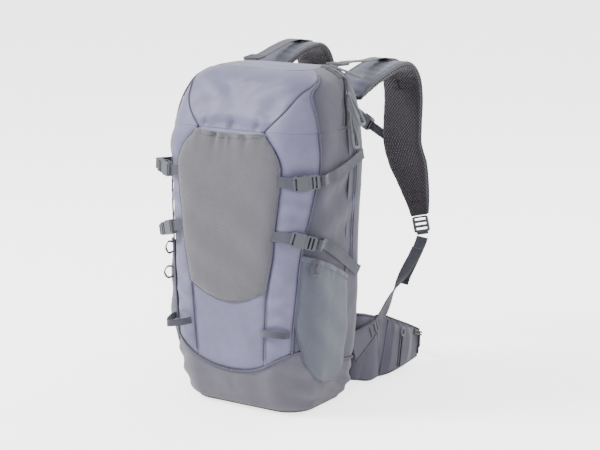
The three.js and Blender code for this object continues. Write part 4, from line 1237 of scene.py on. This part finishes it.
# ---------------------------------------------------------------- hip belt
def build_belt():
    for tag, side in SIDES:
        body = f"hip_{tag}"
        points = mm((side * 101, 150.3, 53), (side * 101, 158.3, 53), (side * 106, 195, 45), (side * 111, 268, 34))
        strip = Strip(points, (0, 0, 1), lambda share: mix(0.098, 0.042, share ** 1.4),
                      lambda share: mix(0.010, 0.0055, share ** 3), 110)
        out = side
        gathers = lambda share, s, t: (
            0.0004 * math.sin(share * 40 + s * 3) * hump(s, 0.75, 0.5) * (1 if t * side > 0 else 0)
            + 0.0007 * math.sin(share * 11 + s * 2.2) * (1 if t * side > 0 else 0) * (1 - s * s))
        wing = strip.tube(f"wing_pad_{tag}", PADDED, gathers)
        fit(wing, "spacer_mesh", body, (f"hip_wing_{tag}",))
        face = strip.face(f"wing_face_{tag}", out, 0.0007, 0.93, 30, 0.004, 0.985, gathers)
        fit(face, "side_cloth", body, (f"hip_wing_{tag}",))
        pocket_lift = lambda share, s, t: gathers(share, s, t) + 0.0052 * (
            min(1, max(0, (share - 0.16) * 9)) * min(1, max(0, (0.80 - share) * 7)) * (1 - s ** 4))
        pocket_face = strip.face(f"wing_pocket_{tag}", out, 0.0012, 0.84, 30, 0.16, 0.80, pocket_lift)
        fit(pocket_face, "side_cloth", body, (f"hip_wing_{tag}",))
        cord(f"wing_piping_high_{tag}", strip.line(0.98, 0, 0.0006, 0, 1, 80), 0.0042, "dark", body, 90)
        cord(f"wing_piping_low_{tag}", strip.line(-0.98, 0, 0.0006, 0, 1, 80), 0.0042, "binding", body, 90)
        cord(f"wing_gusset_{tag}", [strip.at(0.155, mix(-0.9, 0.9, i / 20), out, 0.0016) for i in range(21)],
             0.0026, "piping", body, 24)
        zip_line = [strip.at(0.46, mix(-0.78, 0.52, i / 20), out, 0.0068) for i in range(21)]
        cord(f"wing_zip_{tag}", zip_line, 0.0028, "dark", body, 24)
        web(f"wing_zip_tape_{tag}", [p - Vector((side * 0.0006, 0, 0)) for p in zip_line], (0, 1, 0), 0.009,
            "binding", body, steps=24)
        puller = strip.at(0.46, 0.60, out, 0.0078)
        ring = [puller + Vector((0, math.cos(a) * 0.005, math.sin(a) * 0.006)) for a in
                [math.tau * i / 16 for i in range(17)]]
        cord(f"wing_puller_{tag}", ring, 0.0024, "pull", body, 32)
        # a near-black cord near the wing's tip: painted shade of the slot's opening
        slot_shade_line = [strip.at(0.965, mix(-0.75, 0.75, i / 12), out, 0.0022) for i in range(13)]
        cord(f"wing_slot_shade_{tag}", slot_shade_line, 0.0028, "dark", body, 16)
        for order, s in enumerate((0.62, 0.80)):
            line = strip.line(s, out, 0.0036, 0.80, 1.0, 16)
            cord(f"wing_cord_{order}_{tag}", line, 0.0030, "webbing", body, 24)
        start = 31 if tag == "r" else -26
        belt = mm((start - side * 4, 304, 34), (start + side * 8, 304, 34), (side * 76, 301, 34), (side * 104, 288, 34),
                  (side * 111.5, 271, 34), (side * 113, 258, 35))
        if tag == "l":
            ends = ("hip_l", "hip_plug", belt[2], belt[1])
            web("belt_web_l", belt, (0, 0, 1), 0.020, replaced=("hip_web_l",), between=ends, steps=70)
        else:
            web("belt_web_r", belt, (0, 0, 1), 0.020, body=body, replaced=("hip_web_r",), steps=70)


# ---------------------------------------------------------------- sternum strap, zips and kept fittings
def build_sternum():
    across = (0.509, 0, 0.861)
    web("sternum_strap_r", mm((45, 281.2, 355.4), (37.2, 280.8, 359), (16.9, 280.6, 370), (12, 280.6, 373)), across, 0.014,
        body="sternum_r", replaced=("sternum_web_r",), steps=20)
    points = mm((-12, 280.6, 387.2), (-16.5, 280.6, 389.8), (-37.2, 280.8, 401.5), (-45, 281.2, 405))
    web("sternum_strap_l", points, across, 0.014, replaced=("sternum_web_l",), steps=20,
        between=("sternum_l", "sternum_plug", points[2], points[1]))


PULLS = {
    "zip_pull_lower": ((129.1, 28.4, 425.8), (0.219, 0, -0.976), (0, 1, 0), "zip_pull_lower"),
    "zip_pull_upper": ((122.9, 35.9, 453.3), (0.466, 0, -0.885), (0, 1, 0), "zip_pull_upper"),
    "top_zip_pull": ((89.2, 44.0, 488.9), (0.791, 0.499, -0.354), (-0.53, 0.846, 0.0), "top_zip_pull"),
}


def build_pulls():
    """Cord loops that widen towards a moulded U-shaped end."""
    for name, (eye, along, across, body) in PULLS.items():
        eye, along = Vector(eye) * MM, Vector(along).normalized()
        across = (Vector(across) - along * along.dot(Vector(across))).normalized()
        up = along.cross(across)
        up = up if up.x + up.z > 0 else -up
        flat = name == "top_zip_pull"
        rise = 2.1 if flat else 1.3
        spot = lambda x, y: eye + along * x * MM + across * y * MM + up * rise * MM
        length, wide, grip = (45.4, 5.0, 0.0036) if flat else (46.0, 6.6, 0.0045)
        for edge, sign in (("a", 1), ("b", -1)):
            cord(f"{name}_cord_{edge}", [spot(-2.2, sign * 0.6), spot(2, sign * 1.8), spot(14, sign * 3.0),
                                         spot(length - 16, sign * (wide - 0.8))], 0.0029, "pull", body, 24,
                 replaced=(name,))
        end = [spot(length - 21, wide - 1.0), spot(length - 8, wide), spot(length - 2, wide - 0.6), spot(length, wide - 3),
               spot(length, 0), spot(length, -wide + 3), spot(length - 2, -wide + 0.6), spot(length - 8, -wide),
               spot(length - 21, -wide + 1.0)]
        cord(f"{name}_grip", end, grip, "pull", body, 60)
        cord(f"{name}_loop_end", [spot(-2.4, 0.9), spot(-3.0, 0), spot(-2.4, -0.9)], 0.0024, "pull", body, 10)


KEPT = {
    "buckle": ["compression_socket_upper_r", "compression_socket_upper_l", "compression_socket_lower_r",
               "compression_socket_lower_l", "compression_plug_upper_r", "compression_plug_upper_l",
               "compression_plug_lower_r", "compression_plug_lower_l", "lifter_lock_r", "lifter_lock_l",
               "strap_lock_r", "strap_lock_l", "sternum_clip_r", "sternum_clip_l", "sternum_buckle_socket",
               "sternum_buckle_plug", "hip_buckle_socket", "hip_buckle_plug"],
    "slider": ["zip_slider_lower", "zip_slider_upper", "top_zip_slider"],
    "sheet": ["frame_sheet"],
}


def build_zip_lines():
    """The side zip under its flap: coil, tape and the flap's folded edge, near the back of each side."""
    for tag, side in SIDES:
        line = []
        for z in (200, 250, 300, 350, 395, 407):
            line.append(on_bag(t_of_y(0.030, z * MM), z * MM, 0.0016, side))
        web(f"side_flap_{tag}", line, (0, 1, 0), 0.013, "side_cloth", "bag", steps=60)
        edge = [p + Vector((side * 0.0010, 0.0066, 0)) for p in line]
        cord(f"side_flap_edge_{tag}", edge, 0.0020, "piping", "bag", 60)
        edge = [p + Vector((side * 0.0006, 0.0130, 0)) for p in line]
        cord(f"side_flap_stitch_{tag}", edge, 0.0016, "piping", "bag", 60)
        upper = []
        for y, z in ((20, 411), (25, 428), (29, 446), (40, 462), (50, 474)):
            upper.append(on_bag(t_of_y(y * MM, z * MM), z * MM, 0.0012, side))
        web(f"zip_tape_{tag}", upper, (0, 1, 0.4), 0.012, "binding", "hood", steps=40)
        cord(f"zip_coil_{tag}", [p + Vector((side * 0.0010, 0, 0.0003)) for p in upper], 0.0032, "dark", "hood", 60)
    top = [on_bag(t_of_y(0.044, z * MM), z * MM, 0.0012, 1) for z in (474, 480, 484, 487)]
    web("top_zip_tape", top, (0, 1, 0), 0.012, "binding", "hood", steps=24)


def build_fittings():
    build_tool_loops()
    build_sternum()
    build_pulls()
    build_zip_lines()
    for material, names in KEPT.items():
        for name in names:
            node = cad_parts[name]
            for place in node.material_slots:
                place.material = MATERIALS[material]


def build_all():
    build_boot()
    build_panels()
    build_hood()
    build_front_pocket()
    build_side_pockets()
    build_straps()
    build_harness_webs()
    build_side_webs()
    build_back()
    build_belt()
    build_fittings()


make_camera()
make_studio()
build_all()
